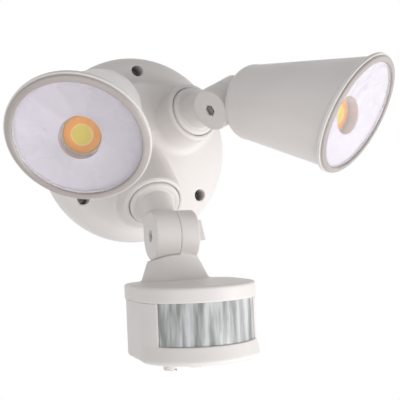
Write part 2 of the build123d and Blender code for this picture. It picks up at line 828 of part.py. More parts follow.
def sensor_body():
    """Lower housing, open at the top, with the curved window cut in its front."""
    top = sensor_top_drop + sensor_cap_depth
    tongue_top = top - sensor_tongue_height
    floor = sensor_bottom_drop - sensor_wall
    body = d_block(0, top, sensor_bottom_drop)
    body = fillet(body.faces().sort_by(Axis.Z)[-1].edges(), sensor_edge_round)
    body += d_block(-sensor_wall - sensor_tongue_gap, tongue_top, top)
    body -= d_block(-2 * sensor_wall, tongue_top - overshoot, floor)
    outer = sensor_radius + overshoot
    inner = sensor_radius - window_slot_depth
    window_bottom = top + sensor_window_depth
    body -= window_sector(outer, inner, tongue_top - overshoot, window_bottom, window_half_angle)
    for x, y in dial_spots:
        radius = dial_stem_radius + dial_stem_clearance
        body -= Pos(x, y, 0) * rod(radius, floor - overshoot, sensor_bottom_drop + overshoot)
    return body


def sensor_window():
    """Curved Fresnel window of the motion sensor."""
    top = sensor_top_drop + sensor_cap_depth
    outer = sensor_radius - window_setback
    inner = outer - window_lens_thickness
    low = top + window_gap
    high = top + sensor_window_depth - window_gap
    return window_sector(outer, inner, low, high, window_half_angle - window_angle_gap)


def sensor_board():
    """Circuit board of the sensor, standing on two posts from the housing's floor."""
    low = sensor_board_drop
    board = Pos(0, board_forward, 0) * slab(board_width, board_depth, low, low + board_thickness)
    side = board_width / 2 - board_post_inset
    back = board_forward - board_depth / 2 + board_post_inset
    for x in (-side, side):
        post = rod(board_post_radius, low + board_thickness, sensor_bottom_drop - sensor_wall)
        board += Pos(x, back, 0) * post
    return board


def pir_element():
    """Round can of the infrared element with its foot, facing forward over the board."""
    centre = sensor_board_drop - element_radius - element_board_gap
    can = Rot(-90, 0, 0) * rod(element_radius, 0, element_height)
    foot = slab(element_radius, element_foot_depth, 0, sensor_board_drop - centre)
    can += Pos(0, element_foot_start + element_foot_depth / 2, 0) * foot
    return Pos(0, element_forward, centre) * can


def light_cell():
    """Small round light cell beside the infrared element."""
    cell = rod(light_cell_radius, sensor_board_drop - light_cell_height, sensor_board_drop)
    return Pos(light_cell_side, element_forward, 0) * cell


def dial():
    """Adjusting dial under the sensor, with a screwdriver slot and a stem through the floor."""
    low = sensor_bottom_drop + dial_gap
    high = low + dial_height
    knob = fillet(top_edges(rod(dial_radius, low, high)), dial_edge_round)
    knob -= slab(dial_slot_width, 2 * (dial_radius + overshoot), high - dial_slot_depth, high + overshoot)
    return knob + rod(dial_stem_radius, sensor_bottom_drop - sensor_wall - dial_stem_reach, low)


# ---------------------------------------------------------------- writing the pieces
os.makedirs("parts", exist_ok=True)

WALL_PIECES = {
    "wall_plate": wall_plate(),
    "cable_grommet": cable_grommet(),
    "cover_gasket": cover_gasket(),
    "base_cover": base_cover(),
    "cover_screws": cover_screws(),
    "driver_case": driver_case(),
    "terminal_block": terminal_block(),
}
for piece, shape in WALL_PIECES.items():
    save(piece, WALL.location * shape)

for side in ("left", "right"):
    save(f"arm_{side}", ARM[side].location * head_arm())
    save(f"ring_nut_{side}", ARM[side].location * ring_nut())
    nut_seat = Pos(0, upper_knuckle_offset, upper_knuckle_reach)
    save(f"knuckle_nut_{side}", ARM[side].location * nut_seat * hex_nut(upper_pair_half_width, 1))
    save(f"knuckle_bolt_{side}", HEAD[side].location * head_bolt())
    save(f"housing_{side}", HEAD[side].location * head_housing())
    save(f"heat_sink_{side}", HEAD[side].location * heat_sink())
    save(f"led_board_{side}", HEAD[side].location * led_board())
    save(f"led_phosphor_{side}", HEAD[side].location * led_phosphor())
    save(f"reflector_{side}", HEAD[side].location * reflector())
    save(f"lens_gasket_{side}", HEAD[side].location * lens_gasket())
    save(f"lens_{side}", HEAD[side].location * lens())
    save(f"bezel_{side}", HEAD[side].location * bezel())

KNUCKLE = Plane(origin=LOWER_KNUCKLE, x_dir=RIGHT, z_dir=UP)
save("arm_sensor", SENSOR_ARM.location * sensor_arm())
save("ring_nut_sensor", SENSOR_ARM.location * ring_nut())
nut_seat = Pos(lower_pair_offset, 0, lower_knuckle_reach)
save("knuckle_nut_sensor", SENSOR_ARM.location * nut_seat * hex_nut(-lower_pair_half_width, -1))
save("knuckle_bolt_sensor", KNUCKLE.location * sensor_bolt())
save("wing_lever", KNUCKLE.location * wing_lever())

SENSOR_PIECES = {
    "sensor_cap": sensor_cap(),
    "sensor_body": sensor_body(),
    "sensor_window": sensor_window(),
    "sensor_board": sensor_board(),
    "pir_element": pir_element(),
    "light_cell": light_cell(),
}
for piece, shape in SENSOR_PIECES.items():
    save(piece, SENSOR.location * shape)
for name, (x, y) in zip(("dial_time", "dial_light"), dial_spots):
    save(name, SENSOR.location * (Pos(x, y, 0) * dial()))
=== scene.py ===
# %% [markdown]
# # A twin-head security light with a motion sensor
# The light is a set of white moulded pieces: a domed round base, three swivel arms, two lamp
# heads and a boxed sensor with a curved window. The CAD model gives every piece its place and
# size. This lesson gives the moulded pieces their soft, blended corners and every piece its
# finish. All sizes here are in millimetres until they go into a mesh.

# %% Load the frame
import json
import math

import bmesh
import bpy
import numpy as np
from mathutils import Matrix


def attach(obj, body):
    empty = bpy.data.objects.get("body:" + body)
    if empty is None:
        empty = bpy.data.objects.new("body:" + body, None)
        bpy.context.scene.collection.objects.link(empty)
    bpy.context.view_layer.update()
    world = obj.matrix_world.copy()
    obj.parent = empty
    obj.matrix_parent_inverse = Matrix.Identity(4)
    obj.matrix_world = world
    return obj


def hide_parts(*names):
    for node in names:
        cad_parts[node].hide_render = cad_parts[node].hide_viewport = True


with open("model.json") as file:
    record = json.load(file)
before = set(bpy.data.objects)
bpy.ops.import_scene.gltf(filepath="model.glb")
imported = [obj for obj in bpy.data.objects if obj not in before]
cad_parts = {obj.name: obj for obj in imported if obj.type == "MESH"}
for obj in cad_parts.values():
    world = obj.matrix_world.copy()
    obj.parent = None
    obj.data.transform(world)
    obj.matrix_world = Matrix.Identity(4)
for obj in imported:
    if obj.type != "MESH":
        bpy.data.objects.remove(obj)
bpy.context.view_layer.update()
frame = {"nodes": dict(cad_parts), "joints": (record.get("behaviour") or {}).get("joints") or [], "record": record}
MM = 0.001
joints = {joint["name"]: joint for joint in frame["joints"]}

# %% [markdown]
# ## The camera
# The photograph was measured by fitting a camera to the outlines of the CAD model. The camera
# looks from the left and from a little below, and it leans by about three degrees. Its lens is
# given as a focal length in pixels of the 400 pixel frame, which turns into millimetres on a
# 36 mm sensor by simple proportion.

# %% Camera
FOCAL_PIXELS = 808.72
FRAME_PIXELS = 400.0
SENSOR_WIDTH = 36.0
AZIMUTH, ELEVATION, ROLL = (math.radians(a) for a in (-20.02, -2.716, -2.852))
SHIFT_RIGHT, SHIFT_UP, DISTANCE = 61.36, -42.18, 714.72

toward_camera = np.array([
    math.sin(AZIMUTH) * math.cos(ELEVATION), -math.cos(AZIMUTH) * math.cos(ELEVATION), math.sin(ELEVATION)
])
level_right = np.array([math.cos(AZIMUTH), math.sin(AZIMUTH), 0.0])
level_up = np.cross(toward_camera, level_right)
image_right = math.cos(ROLL) * level_right + math.sin(ROLL) * level_up
image_up = math.cos(ROLL) * level_up - math.sin(ROLL) * level_right
camera_place = SHIFT_RIGHT * image_right + SHIFT_UP * image_up + DISTANCE * toward_camera


def stand(x_axis, y_axis, z_axis, place_mm):
    """Object matrix whose columns are the three axes and the place in metres."""
    columns = np.eye(4)
    columns[:3, 0], columns[:3, 1], columns[:3, 2] = x_axis, y_axis, z_axis
    columns[:3, 3] = np.asarray(place_mm) * MM
    return Matrix(columns.tolist())


optics = bpy.data.cameras.new("camera")
optics.sensor_width = SENSOR_WIDTH
optics.lens = FOCAL_PIXELS / FRAME_PIXELS * SENSOR_WIDTH
optics.clip_start = 0.01
camera = bpy.data.objects.new("camera", optics)
bpy.context.collection.objects.link(camera)
camera.matrix_world = stand(image_right, image_up, toward_camera, camera_place)
bpy.context.scene.camera = camera
print("lens (mm):", round(optics.lens, 2), "camera at (mm):", camera_place.round(1))

# %% [markdown]
# ## Helpers for materials
# Colours are picked as sRGB hex values, as in any paint program, and turned to the linear
# values that the renderer wants. One small function adds a node with its settings and links,
# so each material below reads as a list of what it mixes.

# %% Material helpers


def linear(hex_colour):
    """sRGB hex to linear RGBA: values below 0.04045 over 12.92, the rest to the power of 2.4."""
    srgb = np.array([int(hex_colour[i:i + 2], 16) for i in (1, 3, 5)]) / 255.0
    flat = np.where(srgb <= 0.04045, srgb / 12.92, ((srgb + 0.055) / 1.055) ** 2.4)
    return (*flat.tolist(), 1.0)


def add(tree, kind, values=None, links=None, **settings):
    """Adds one node: settings are its own properties, values its unlinked inputs, links its inputs."""
    new = tree.nodes.new(kind)
    for key, value in settings.items():
        setattr(new, key, value)
    for key, value in (values or {}).items():
        new.inputs[key].default_value = value
    for key, source in (links or {}).items():
        tree.links.new(source, new.inputs[key])
    return new


def start_material(name):
    """An empty node tree with its Principled shader on the output; returns material, tree, shader."""
    material = bpy.data.materials.new(name)
    material.use_nodes = True
    tree = material.node_tree
    tree.nodes.clear()
    shader = add(tree, "ShaderNodeBsdfPrincipled")
    add(tree, "ShaderNodeOutputMaterial", links={"Surface": shader.outputs["BSDF"]})
    return material, tree, shader


# %% [markdown]
# ## White moulded plastic
# The arms, heads, base and sensor of such a light are injection moulded in a UV-stable ABS or
# ASA. The mould is spark eroded, which leaves a fine satin grain, so the highlight is broad and
# The resin flows and cools unevenly, which shows as very faint cloudy changes of tone and
# gloss over a few centimetres. The inside corners get painted shade: an occlusion pass darkens
# the white towards a warm grey there. One function makes it, with the tone and the gloss of each moulding.

# %% Moulded plastic
GRAIN_MM = 0.9    # the real grain is about 0.1 mm; this is as fine as the render can show
CLOUD_MM = 45.0
# how far the painted shade in the inside corners reaches
CORNER_SHADE_REACH_MM = 5.0


def moulded_plastic(name, light, shade, roughness, grain_depth_mm=0.012, ring_shade_tone=None):
    """Satin ABS: IOR 1.53, no metal, roughness 0.35 to 0.5 from the spark-eroded mould."""
    material, tree, shader = start_material(name)
    place_at = add(tree, "ShaderNodeTexCoord").outputs["Object"]
    cloud = add(
        tree, "ShaderNodeTexNoise",
        values={"Scale": 1.0 / (CLOUD_MM * MM), "Detail": 3.0, "Roughness": 0.5}, links={"Vector": place_at},
    )
    tone = add(
        tree, "ShaderNodeMix", data_type="RGBA", values={6: linear(light), 7: linear(shade)},
        links={0: cloud.outputs["Fac"]},
    )
    # Painted shade: an occlusion pass darkens the white towards the grey #B4ADA5 in the inside corners, where
    # shade falls.
    corner = add(
        tree, "ShaderNodeAmbientOcclusion", values={"Distance": CORNER_SHADE_REACH_MM * MM}, samples=6,
        only_local=True,
    )
    painted_corner_shade = add(
        tree, "ShaderNodeMapRange",
        values={"From Min": 0.25, "From Max": 0.85, "To Min": 0.55, "To Max": 0.0},
        links={"Value": corner.outputs["AO"]},
    )
    corner_shaded = add(
        tree, "ShaderNodeMix", data_type="RGBA", values={7: linear("#B4ADA5")},
        links={0: painted_corner_shade.outputs["Result"], 6: tone.outputs[2]},
    )
    gloss = add(
        tree, "ShaderNodeMapRange",
        values={"From Min": 0.3, "From Max": 0.7, "To Min": roughness - 0.05, "To Max": roughness + 0.06},
        links={"Value": cloud.outputs["Fac"]},
    )
    grain = add(
        tree, "ShaderNodeTexNoise",
        values={"Scale": 1.0 / (GRAIN_MM * MM), "Detail": 2.0, "Roughness": 0.6}, links={"Vector": place_at},
    )
    bump = add(
        tree, "ShaderNodeBump", values={"Strength": 0.35, "Distance": grain_depth_mm * MM},
        links={"Height": grain.outputs["Fac"]},
    )
    colour = corner_shaded.outputs[2]
    # Painted shade: where the mesh's frame attribute is 1, the white turns to the grey tone, the bezel's front
    # ring drawn as if in shade.
    if ring_shade_tone:
        in_painted_ring = add(tree, "ShaderNodeAttribute", attribute_name="frame")
        ring_shaded = add(
            tree, "ShaderNodeMix", data_type="RGBA", values={7: linear(ring_shade_tone)},
            links={0: in_painted_ring.outputs["Fac"], 6: colour},
        )
        colour = ring_shaded.outputs[2]
    tree.links.new(colour, shader.inputs["Base Color"])
    tree.links.new(gloss.outputs["Result"], shader.inputs["Roughness"])
    tree.links.new(bump.outputs["Normal"], shader.inputs["Normal"])
    shader.inputs["IOR"].default_value = 1.53
    shader.inputs["Subsurface Weight"].default_value = 0.06
    shader.inputs["Subsurface Radius"].default_value = (1.0, 0.9, 0.8)
    shader.inputs["Subsurface Scale"].default_value = 0.0015
    return material


satin_asa = moulded_plastic("satin_white_asa", "#EBE6E4", "#E5E0DD", 0.42)
head_asa = moulded_plastic("satin_white_asa_head", "#EBE6E4", "#E6E1DF", 0.38)
# AEA5A2 is the painted shade of the bezel's front ring, above its lip.
bezel_asa = moulded_plastic("semi_gloss_white_asa", "#E6E3E0", "#E0DCD9", 0.26, 0.006, "#AEA5A2")
plate_abs = moulded_plastic("wall_plate_abs", "#D2CEC8", "#CBC6BF", 0.5)
print("plastics:", [m.name for m in bpy.data.materials if "a" in m.name][:6])

# %% [markdown]
# ## Clear, white and ribbed optics
# Three optical pieces differ from the mouldings. The lamp's cover is clear polycarbonate, flat
# and polished. The reflector behind it is a glossy white moulding, very slightly violet because
# it picks up the optical brightener in the resin. The sensor's window is milky polyethylene,
# thin enough to show grey where the dark sensor chamber lies behind it, so a stretched noise
# mixes the chamber's grey with the sheet's own white. It is ribbed in upright strips, one small
# Fresnel lens each.

# %% Optics


def clear_cover():
    """Polished polycarbonate: IOR 1.586, roughness near zero, a hair of moulding waviness."""
    material, tree, shader = start_material("clear_polycarbonate")
    place_at = add(tree, "ShaderNodeTexCoord").outputs["Object"]
    wave = add(
        tree,
        "ShaderNodeTexNoise",
        values={"Scale": 1.0 / (22.0 * MM), "Detail": 1.0},
        links={"Vector": place_at},
    )
    bump = add(
        tree,
        "ShaderNodeBump",
        values={"Strength": 0.08, "Distance": 0.05 * MM},
        links={"Height": wave.outputs["Fac"]},
    )
    haze = add(
        tree,
        "ShaderNodeMapRange",
        values={"From Min": 0.35, "From Max": 0.7, "To Min": 0.02, "To Max": 0.09},
        links={"Value": wave.outputs["Fac"]},
    )
    shader.inputs["Base Color"].default_value = linear("#FBFBFD")
    shader.inputs["IOR"].default_value = 1.586
    shader.inputs["Transmission Weight"].default_value = 1.0
    tree.links.new(bump.outputs["Normal"], shader.inputs["Normal"])
    tree.links.new(haze.outputs["Result"], shader.inputs["Roughness"])
    glass_light = add(tree, "ShaderNodeBsdfTransparent", values={"Color": linear("#F4F4F8")})
    ray = add(tree, "ShaderNodeLightPath")
    mix = add(
        tree, "ShaderNodeMixShader",
        links={0: ray.outputs["Is Shadow Ray"], 1: shader.outputs["BSDF"], 2: glass_light.outputs["BSDF"]},
    )
    for node in tree.nodes:
        if node.bl_idname == "ShaderNodeOutputMaterial":
            tree.links.new(mix.outputs["Shader"], node.inputs["Surface"])
    return material


def reflector_white():
    """Glossy white ABS dish: IOR 1.53, roughness 0.22, with broad facets pressed round it."""
    material, tree, shader = start_material("glossy_white_reflector")
    place_at = add(tree, "ShaderNodeTexCoord").outputs["Object"]
    cloud = add(
        tree,
        "ShaderNodeTexNoise",
        values={"Scale": 1.0 / (16.0 * MM), "Detail": 2.0},
        links={"Vector": place_at},
    )
    tone = add(
        tree, "ShaderNodeMix", data_type="RGBA", values={6: linear("#DAD3D9"), 7: linear("#CDC6CB")},
        links={0: cloud.outputs["Fac"]},
    )
    tree.links.new(tone.outputs[2], shader.inputs["Base Color"])
    gloss = add(
        tree, "ShaderNodeMapRange", values={"From Min": 0.3, "From Max": 0.7, "To Min": 0.18, "To Max": 0.30},
        links={"Value": cloud.outputs["Fac"]},
    )
    tree.links.new(gloss.outputs["Result"], shader.inputs["Roughness"])
    shader.inputs["IOR"].default_value = 1.53
    return material


CHAMBER_GREY, SHEET_WHITE = "#8E918E", "#CFD0D2"


def fresnel_window():
    """Milky polyethylene over a dark chamber: IOR 1.51, roughness 0.3, upright strips by UV."""
    material, tree, shader = start_material("ribbed_polyethylene")
    where = add(tree, "ShaderNodeUVMap", uv_map="strips").outputs["UV"]
    parts = add(tree, "ShaderNodeSeparateXYZ", links={"Vector": where})
    across = add(tree, "ShaderNodeMath", operation="FRACT", links={0: parts.outputs["X"]})
    tall = add(
        tree, "ShaderNodeVectorMath", operation="MULTIPLY", values={1: (0.55, 0.10, 1.0)}, links={0: where}
    )
    waver = add(
        tree,
        "ShaderNodeTexNoise",
        noise_dimensions="2D",
        values={"Scale": 2.6, "Detail": 3.0, "Roughness": 0.55},
        links={"Vector": tall.outputs["Vector"]},
    )
    clouding = add(
        tree, "ShaderNodeMapRange",
        values={"From Min": 0.35, "From Max": 0.65, "To Min": 0.0, "To Max": 1.0},
        links={"Value": waver.outputs["Fac"]},
    )
    bands = add(
        tree, "ShaderNodeMix", data_type="RGBA",
        values={6: linear(CHAMBER_GREY), 7: linear(SHEET_WHITE)},
        links={0: clouding.outputs["Result"]},
    )
    milk = add(
        tree, "ShaderNodeMix", data_type="RGBA", blend_type="OVERLAY", values={0: 0.3},
        links={6: bands.outputs[2], 7: waver.outputs["Fac"]},
    )
    edge = add(
        tree, "ShaderNodeMath", operation="PINGPONG", values={1: 0.5}, links={0: parts.outputs["X"]}
    )
    line = add(
        tree, "ShaderNodeMapRange", values={"From Min": 0.0, "From Max": 0.05, "To Min": 0.4, "To Max": 0.0},
        links={"Value": edge.outputs["Value"]},
    )
    lined = add(
        tree, "ShaderNodeMix", data_type="RGBA", values={7: linear("#8F938F")},
        links={0: line.outputs["Result"], 6: milk.outputs[2]},
    )
    centred = add(
        tree, "ShaderNodeMath", operation="SUBTRACT", values={1: 0.5}, links={0: across.outputs["Value"]}
    )
    circle = add(
        tree, "ShaderNodeCombineXYZ", links={"X": centred.outputs["Value"], "Y": parts.outputs["Y"]}
    )
    reach = add(tree, "ShaderNodeVectorMath", operation="LENGTH", links={0: circle.outputs["Vector"]})
    rings = add(
        tree, "ShaderNodeMath", operation="MULTIPLY", values={1: 9.0}, links={0: reach.outputs["Value"]}
    )
    saw = add(tree, "ShaderNodeMath", operation="FRACT", links={0: rings.outputs["Value"]})
    bump = add(
        tree,
        "ShaderNodeBump",
        values={"Strength": 0.25, "Distance": 0.12 * MM},
        links={"Height": saw.outputs["Value"]},
    )
    tree.links.new(lined.outputs[2], shader.inputs["Base Color"])
    tree.links.new(bump.outputs["Normal"], shader.inputs["Normal"])
    shader.inputs["IOR"].default_value = 1.51
    shader.inputs["Roughness"].default_value = 0.28
    return material


clear_pc = clear_cover()
dish_white = reflector_white()
window_pe = fresnel_window()

# %% [markdown]
# ## The LED
# The lamp is a chip-on-board LED: blue dies under a disc of silicone that is filled with
# phosphor powder. Unlit, the silicone is a strong yellow. Its rim, a dam of clearer silicone
# round the dies, looks orange because the light goes deeper there. The board under it is a
# white ceramic tile. The pattern is drawn from the distance to the LED's own axis.

# %% LED materials


def phosphor(centre, radius_mm, core_mm):
    """Silicone gel over phosphor: IOR 1.41, roughness 0.3; yellow core, pale ring, orange rim."""
    material, tree, shader = start_material("led_phosphor_gel")
    place_at = add(tree, "ShaderNodeTexCoord").outputs["Object"]
    reach = add(
        tree, "ShaderNodeVectorMath", operation="DISTANCE", values={1: tuple(centre)}, links={0: place_at}
    )
    grain = add(
        tree,
        "ShaderNodeTexNoise",
        values={"Scale": 1.0 / (1.4 * MM), "Detail": 3.0},
        links={"Vector": place_at},
    )
    stirred = add(
        tree, "ShaderNodeMath", operation="MULTIPLY_ADD", values={1: 0.9 * MM},
        links={0: grain.outputs["Fac"], 2: reach.outputs["Value"]},
    )
    core = add(
        tree, "ShaderNodeMapRange", interpolation_type="SMOOTHSTEP",
        values={
            "From Min": (core_mm - 0.2) * MM, "From Max": (core_mm + 1.1) * MM,
            "To Min": 0.0, "To Max": 1.0,
        },
        links={"Value": stirred.outputs["Value"]},
    )
    colour = add(
        tree, "ShaderNodeMix", data_type="RGBA", values={6: linear("#DCC61E"), 7: linear("#F29C10")},
        links={0: core.outputs["Result"]},
    )
    off_ring = add(
        tree,
        "ShaderNodeMath",
        operation="SUBTRACT",
        values={1: (core_mm + 0.9) * MM},
        links={0: stirred.outputs["Value"]},
    )
    off_ring = add(tree, "ShaderNodeMath", operation="ABSOLUTE", links={0: off_ring.outputs["Value"]})
    ring = add(
        tree,
        "ShaderNodeMapRange",
        values={"From Min": 0.15 * MM, "From Max": 0.75 * MM, "To Min": 0.75, "To Max": 0.0},
        links={"Value": off_ring.outputs["Value"]},
    )
    ringed = add(
        tree, "ShaderNodeMix", data_type="RGBA", values={7: linear("#F2DF7A")},
        links={0: ring.outputs["Result"], 6: colour.outputs[2]},
    )
    rim = add(
        tree, "ShaderNodeMapRange",
        values={"From Min": (radius_mm - 1.6) * MM, "From Max": radius_mm * MM, "To Min": 0.0, "To Max": 0.6},
        links={"Value": reach.outputs["Value"]},
    )
    rimmed = add(
        tree, "ShaderNodeMix", data_type="RGBA", values={7: linear("#E8B02C")},
        links={0: rim.outputs["Result"], 6: ringed.outputs[2]},
    )
    bump = add(
        tree,
        "ShaderNodeBump",
        values={"Strength": 0.3, "Distance": 0.05 * MM},
        links={"Height": grain.outputs["Fac"]},
    )
    tree.links.new(rimmed.outputs[2], shader.inputs["Base Color"])
    tree.links.new(bump.outputs["Normal"], shader.inputs["Normal"])
    shader.inputs["IOR"].default_value = 1.41
    shader.inputs["Roughness"].default_value = 0.3
    shader.inputs["Coat Weight"].default_value = 0.5
    shader.inputs["Coat Roughness"].default_value = 0.12
    return material


# %% [markdown]
# ## Metal, rubber and the inner pieces
# The screws and bolts are zinc-plated steel: a slightly blue grey, brushed by tumbling. The
# heat sinks are cast aluminium, duller and grained. The seals are black EPDM rubber, the ring
# nuts natural nylon, the driver's case black ABS, and the circuit board green solder mask. One
# function makes the metals and one the plain polymers, each with its grain and its dirt.

# %% Metals and polymers


def metal(name, light, dark, roughness, grain_mm):
    """Plated or cast metal: metallic 1, default IOR, roughness from its scratches or skin."""
    material, tree, shader = start_material(name)
    place_at = add(tree, "ShaderNodeTexCoord").outputs["Object"]
    skin = add(
        tree, "ShaderNodeTexNoise", values={"Scale": 1.0 / (grain_mm * MM), "Detail": 4.0, "Roughness": 0.7},
        links={"Vector": place_at},
    )
    tone = add(
        tree,
        "ShaderNodeMix",
        data_type="RGBA",
        values={6: linear(light), 7: linear(dark)},
        links={0: skin.outputs["Fac"]},
    )
    rough = add(
        tree, "ShaderNodeMapRange",
        values={"From Min": 0.3, "From Max": 0.7, "To Min": roughness - 0.08, "To Max": roughness + 0.12},
        links={"Value": skin.outputs["Fac"]},
    )
    bump = add(
        tree,
        "ShaderNodeBump",
        values={"Strength": 0.3, "Distance": 0.03 * MM},
        links={"Height": skin.outputs["Fac"]},
    )
    tree.links.new(tone.outputs[2], shader.inputs["Base Color"])
    tree.links.new(rough.outputs["Result"], shader.inputs["Roughness"])
    tree.links.new(bump.outputs["Normal"], shader.inputs["Normal"])
    shader.inputs["Metallic"].default_value = 1.0
    return material


def polymer(name, light, dark, roughness, grain_mm, ior=1.5):
    """Plain polymer or rubber: a mottled tone, a matching gloss and a fine skin."""
    material, tree, shader = start_material(name)
    place_at = add(tree, "ShaderNodeTexCoord").outputs["Object"]
    skin = add(
        tree,
        "ShaderNodeTexNoise",
        values={"Scale": 1.0 / (grain_mm * MM), "Detail": 3.0},
        links={"Vector": place_at},
    )
    tone = add(
        tree,
        "ShaderNodeMix",
        data_type="RGBA",
        values={6: linear(light), 7: linear(dark)},
        links={0: skin.outputs["Fac"]},
    )
    rough = add(
        tree, "ShaderNodeMapRange",
        values={"From Min": 0.3, "From Max": 0.7, "To Min": roughness - 0.06, "To Max": roughness + 0.08},
        links={"Value": skin.outputs["Fac"]},
    )
    bump = add(
        tree,
        "ShaderNodeBump",
        values={"Strength": 0.3, "Distance": 0.02 * MM},
        links={"Height": skin.outputs["Fac"]},
    )
    tree.links.new(tone.outputs[2], shader.inputs["Base Color"])
    tree.links.new(rough.outputs["Result"], shader.inputs["Roughness"])
    tree.links.new(bump.outputs["Normal"], shader.inputs["Normal"])
    shader.inputs["IOR"].default_value = ior
    return material


finish = {
    "cover_white": satin_asa,
    "arm_white": satin_asa,
    "sensor_white": satin_asa,
    "dial_white": satin_asa,
    "lever_white": satin_asa,
    "head_white": head_asa,
    "bezel_white": bezel_asa,
    "plate_white": plate_abs,
    "lens_clear": clear_pc,
    "reflector_white": dish_white,
    "window_fresnel": window_pe,
    "zinc_steel": metal("zinc_plated_steel", "#8D8C8A", "#6E6C69", 0.34, 1.2),
    "element_can": metal("nickel_plated_can", "#B9B6AF", "#9A968E", 0.25, 1.5),
    "sink_aluminium": metal("cast_aluminium", "#B8B9BB", "#999A9C", 0.45, 2.0),
    "seal_rubber": polymer("epdm_rubber", "#26262A", "#19191B", 0.7, 1.5, 1.52),
    "seal_silicone": polymer("white_silicone", "#DEDAD6", "#CFCAC5", 0.6, 1.5, 1.41),
    "nut_nylon": polymer("natural_nylon", "#D8D4C6", "#CCC7B8", 0.45, 4.0, 1.53),
    "led_ceramic": polymer("alumina_tile", "#E4E2DC", "#D8D5CE", 0.35, 3.0, 1.76),
    "board_green": polymer("solder_mask", "#1F5A34", "#174528", 0.3, 6.0, 1.5),
    "driver_black": polymer("black_abs_case", "#232326", "#1A1A1C", 0.5, 3.0, 1.53),
    "terminal_nylon": polymer("terminal_nylon", "#DAD7CC", "#CECABD", 0.4, 4.0, 1.53),
}
print("finishes:", len(finish))

# %% [markdown]
# ## Local frames
# Each arm, head and the sensor is easiest to describe in its own frame, where z runs along its
# axis and x along its knuckle bolt. The CAD model's joints give those frames: a swivel joint
# has the collar's centre and axis, and a tilt joint has the knuckle's centre and bolt.

# %% Frames of the moving pieces


def unit(vector):
    return np.asarray(vector, float) / np.linalg.norm(vector)


def local_frame(origin, x_dir, z_dir):
    """Origin in mm and three rows: x, y = z cross x, and z."""
    x_dir, z_dir = unit(x_dir), unit(z_dir)
    return np.asarray(origin, float), np.array([x_dir, np.cross(z_dir, x_dir), z_dir])


def to_row(points, place):
    """Local points to the object's frame: origin plus the axes, weighted by the coordinates."""
    origin, axes = place
    return origin + points @ axes


def joint_point(name):
    return np.array(joints[name]["pos_m"]) / MM


RIGHT, DOWN = np.array([1.0, 0.0, 0.0]), np.array([0.0, 0.0, -1.0])
WALL = local_frame((0, 0, 0), RIGHT, (0, -1, 0))
HEAD_TILT = {"left": math.radians(-21.0), "right": math.radians(-15.9)}
SENSOR_TIP = math.radians(0.9)

arm_frames, head_frames = {}, {}
for side in ("left", "right"):
    bolt = unit(joints[f"head_tilt_{side}"]["axis"])
    collar_axis = unit(joints[f"head_swivel_{side}"]["axis"])
    arm_frames[side] = local_frame(joint_point(f"head_swivel_{side}"), bolt, collar_axis)
    flat = unit(np.cross(-DOWN, bolt))
    flat = flat if flat @ collar_axis > 0 else -flat
    axis = flat * math.cos(HEAD_TILT[side]) + np.cross(bolt, flat) * math.sin(HEAD_TILT[side])
    head_frames[side] = local_frame(joint_point(f"head_tilt_{side}"), bolt, axis)
arm_frames["sensor"] = local_frame(joint_point("sensor_swivel"), RIGHT, joints["sensor_swivel"]["axis"])
sensor_down = np.array([0.0, math.sin(SENSOR_TIP), -math.cos(SENSOR_TIP)])
SENSOR = local_frame(joint_point("sensor_tilt"), RIGHT, sensor_down)
print("head axes:", {side: head_frames[side][1][2].round(2).tolist() for side in head_frames})

# %% [markdown]
# ## From a distance field to a mesh
# The mouldings flow into one another: a boss swells out of the dome, a neck runs into its ear.
# Boolean solids meet in hard lines instead. A signed distance field can blend them: it says how
# far each point is from a shape, negative inside, and the union of two shapes is the smaller
# of the two fields. A smooth minimum rounds the inside corner to a chosen radius, and a similar
# trick rounds an outside edge. The surface is where the field is zero. It is drawn by a surface
# net: one vertex in each grid cell that the surface crosses, and one face round each grid edge
# that it crosses, all found with whole arrays.

# %% Distance field tools


def smooth_union(a, b, radius):
    """Smooth minimum: the lower field, less a parabola where the two are closer than the radius."""
    near = np.clip(radius - np.abs(a - b), 0.0, None) / radius
    return np.minimum(a, b) - near * near * radius * 0.25


def round_cap(a, b, radius):
    """Intersection of two fields whose edge is rounded by a circle of the radius."""
    corner = np.hypot(np.clip(a + radius, 0.0, None), np.clip(b + radius, 0.0, None))
    return np.minimum(np.maximum(a, b), -radius) + corner


def smooth_cut(a, tool, radius):
    """Takes the tool out of a and rounds the rim of the hole."""
    return round_cap(a, -tool, radius)


def axis_distances(points, origin, direction):
    """Height along an axis and distance from it."""
    offset = points - origin
    along = offset @ direction
    return along, np.linalg.norm(offset - along[..., None] * direction, axis=-1)


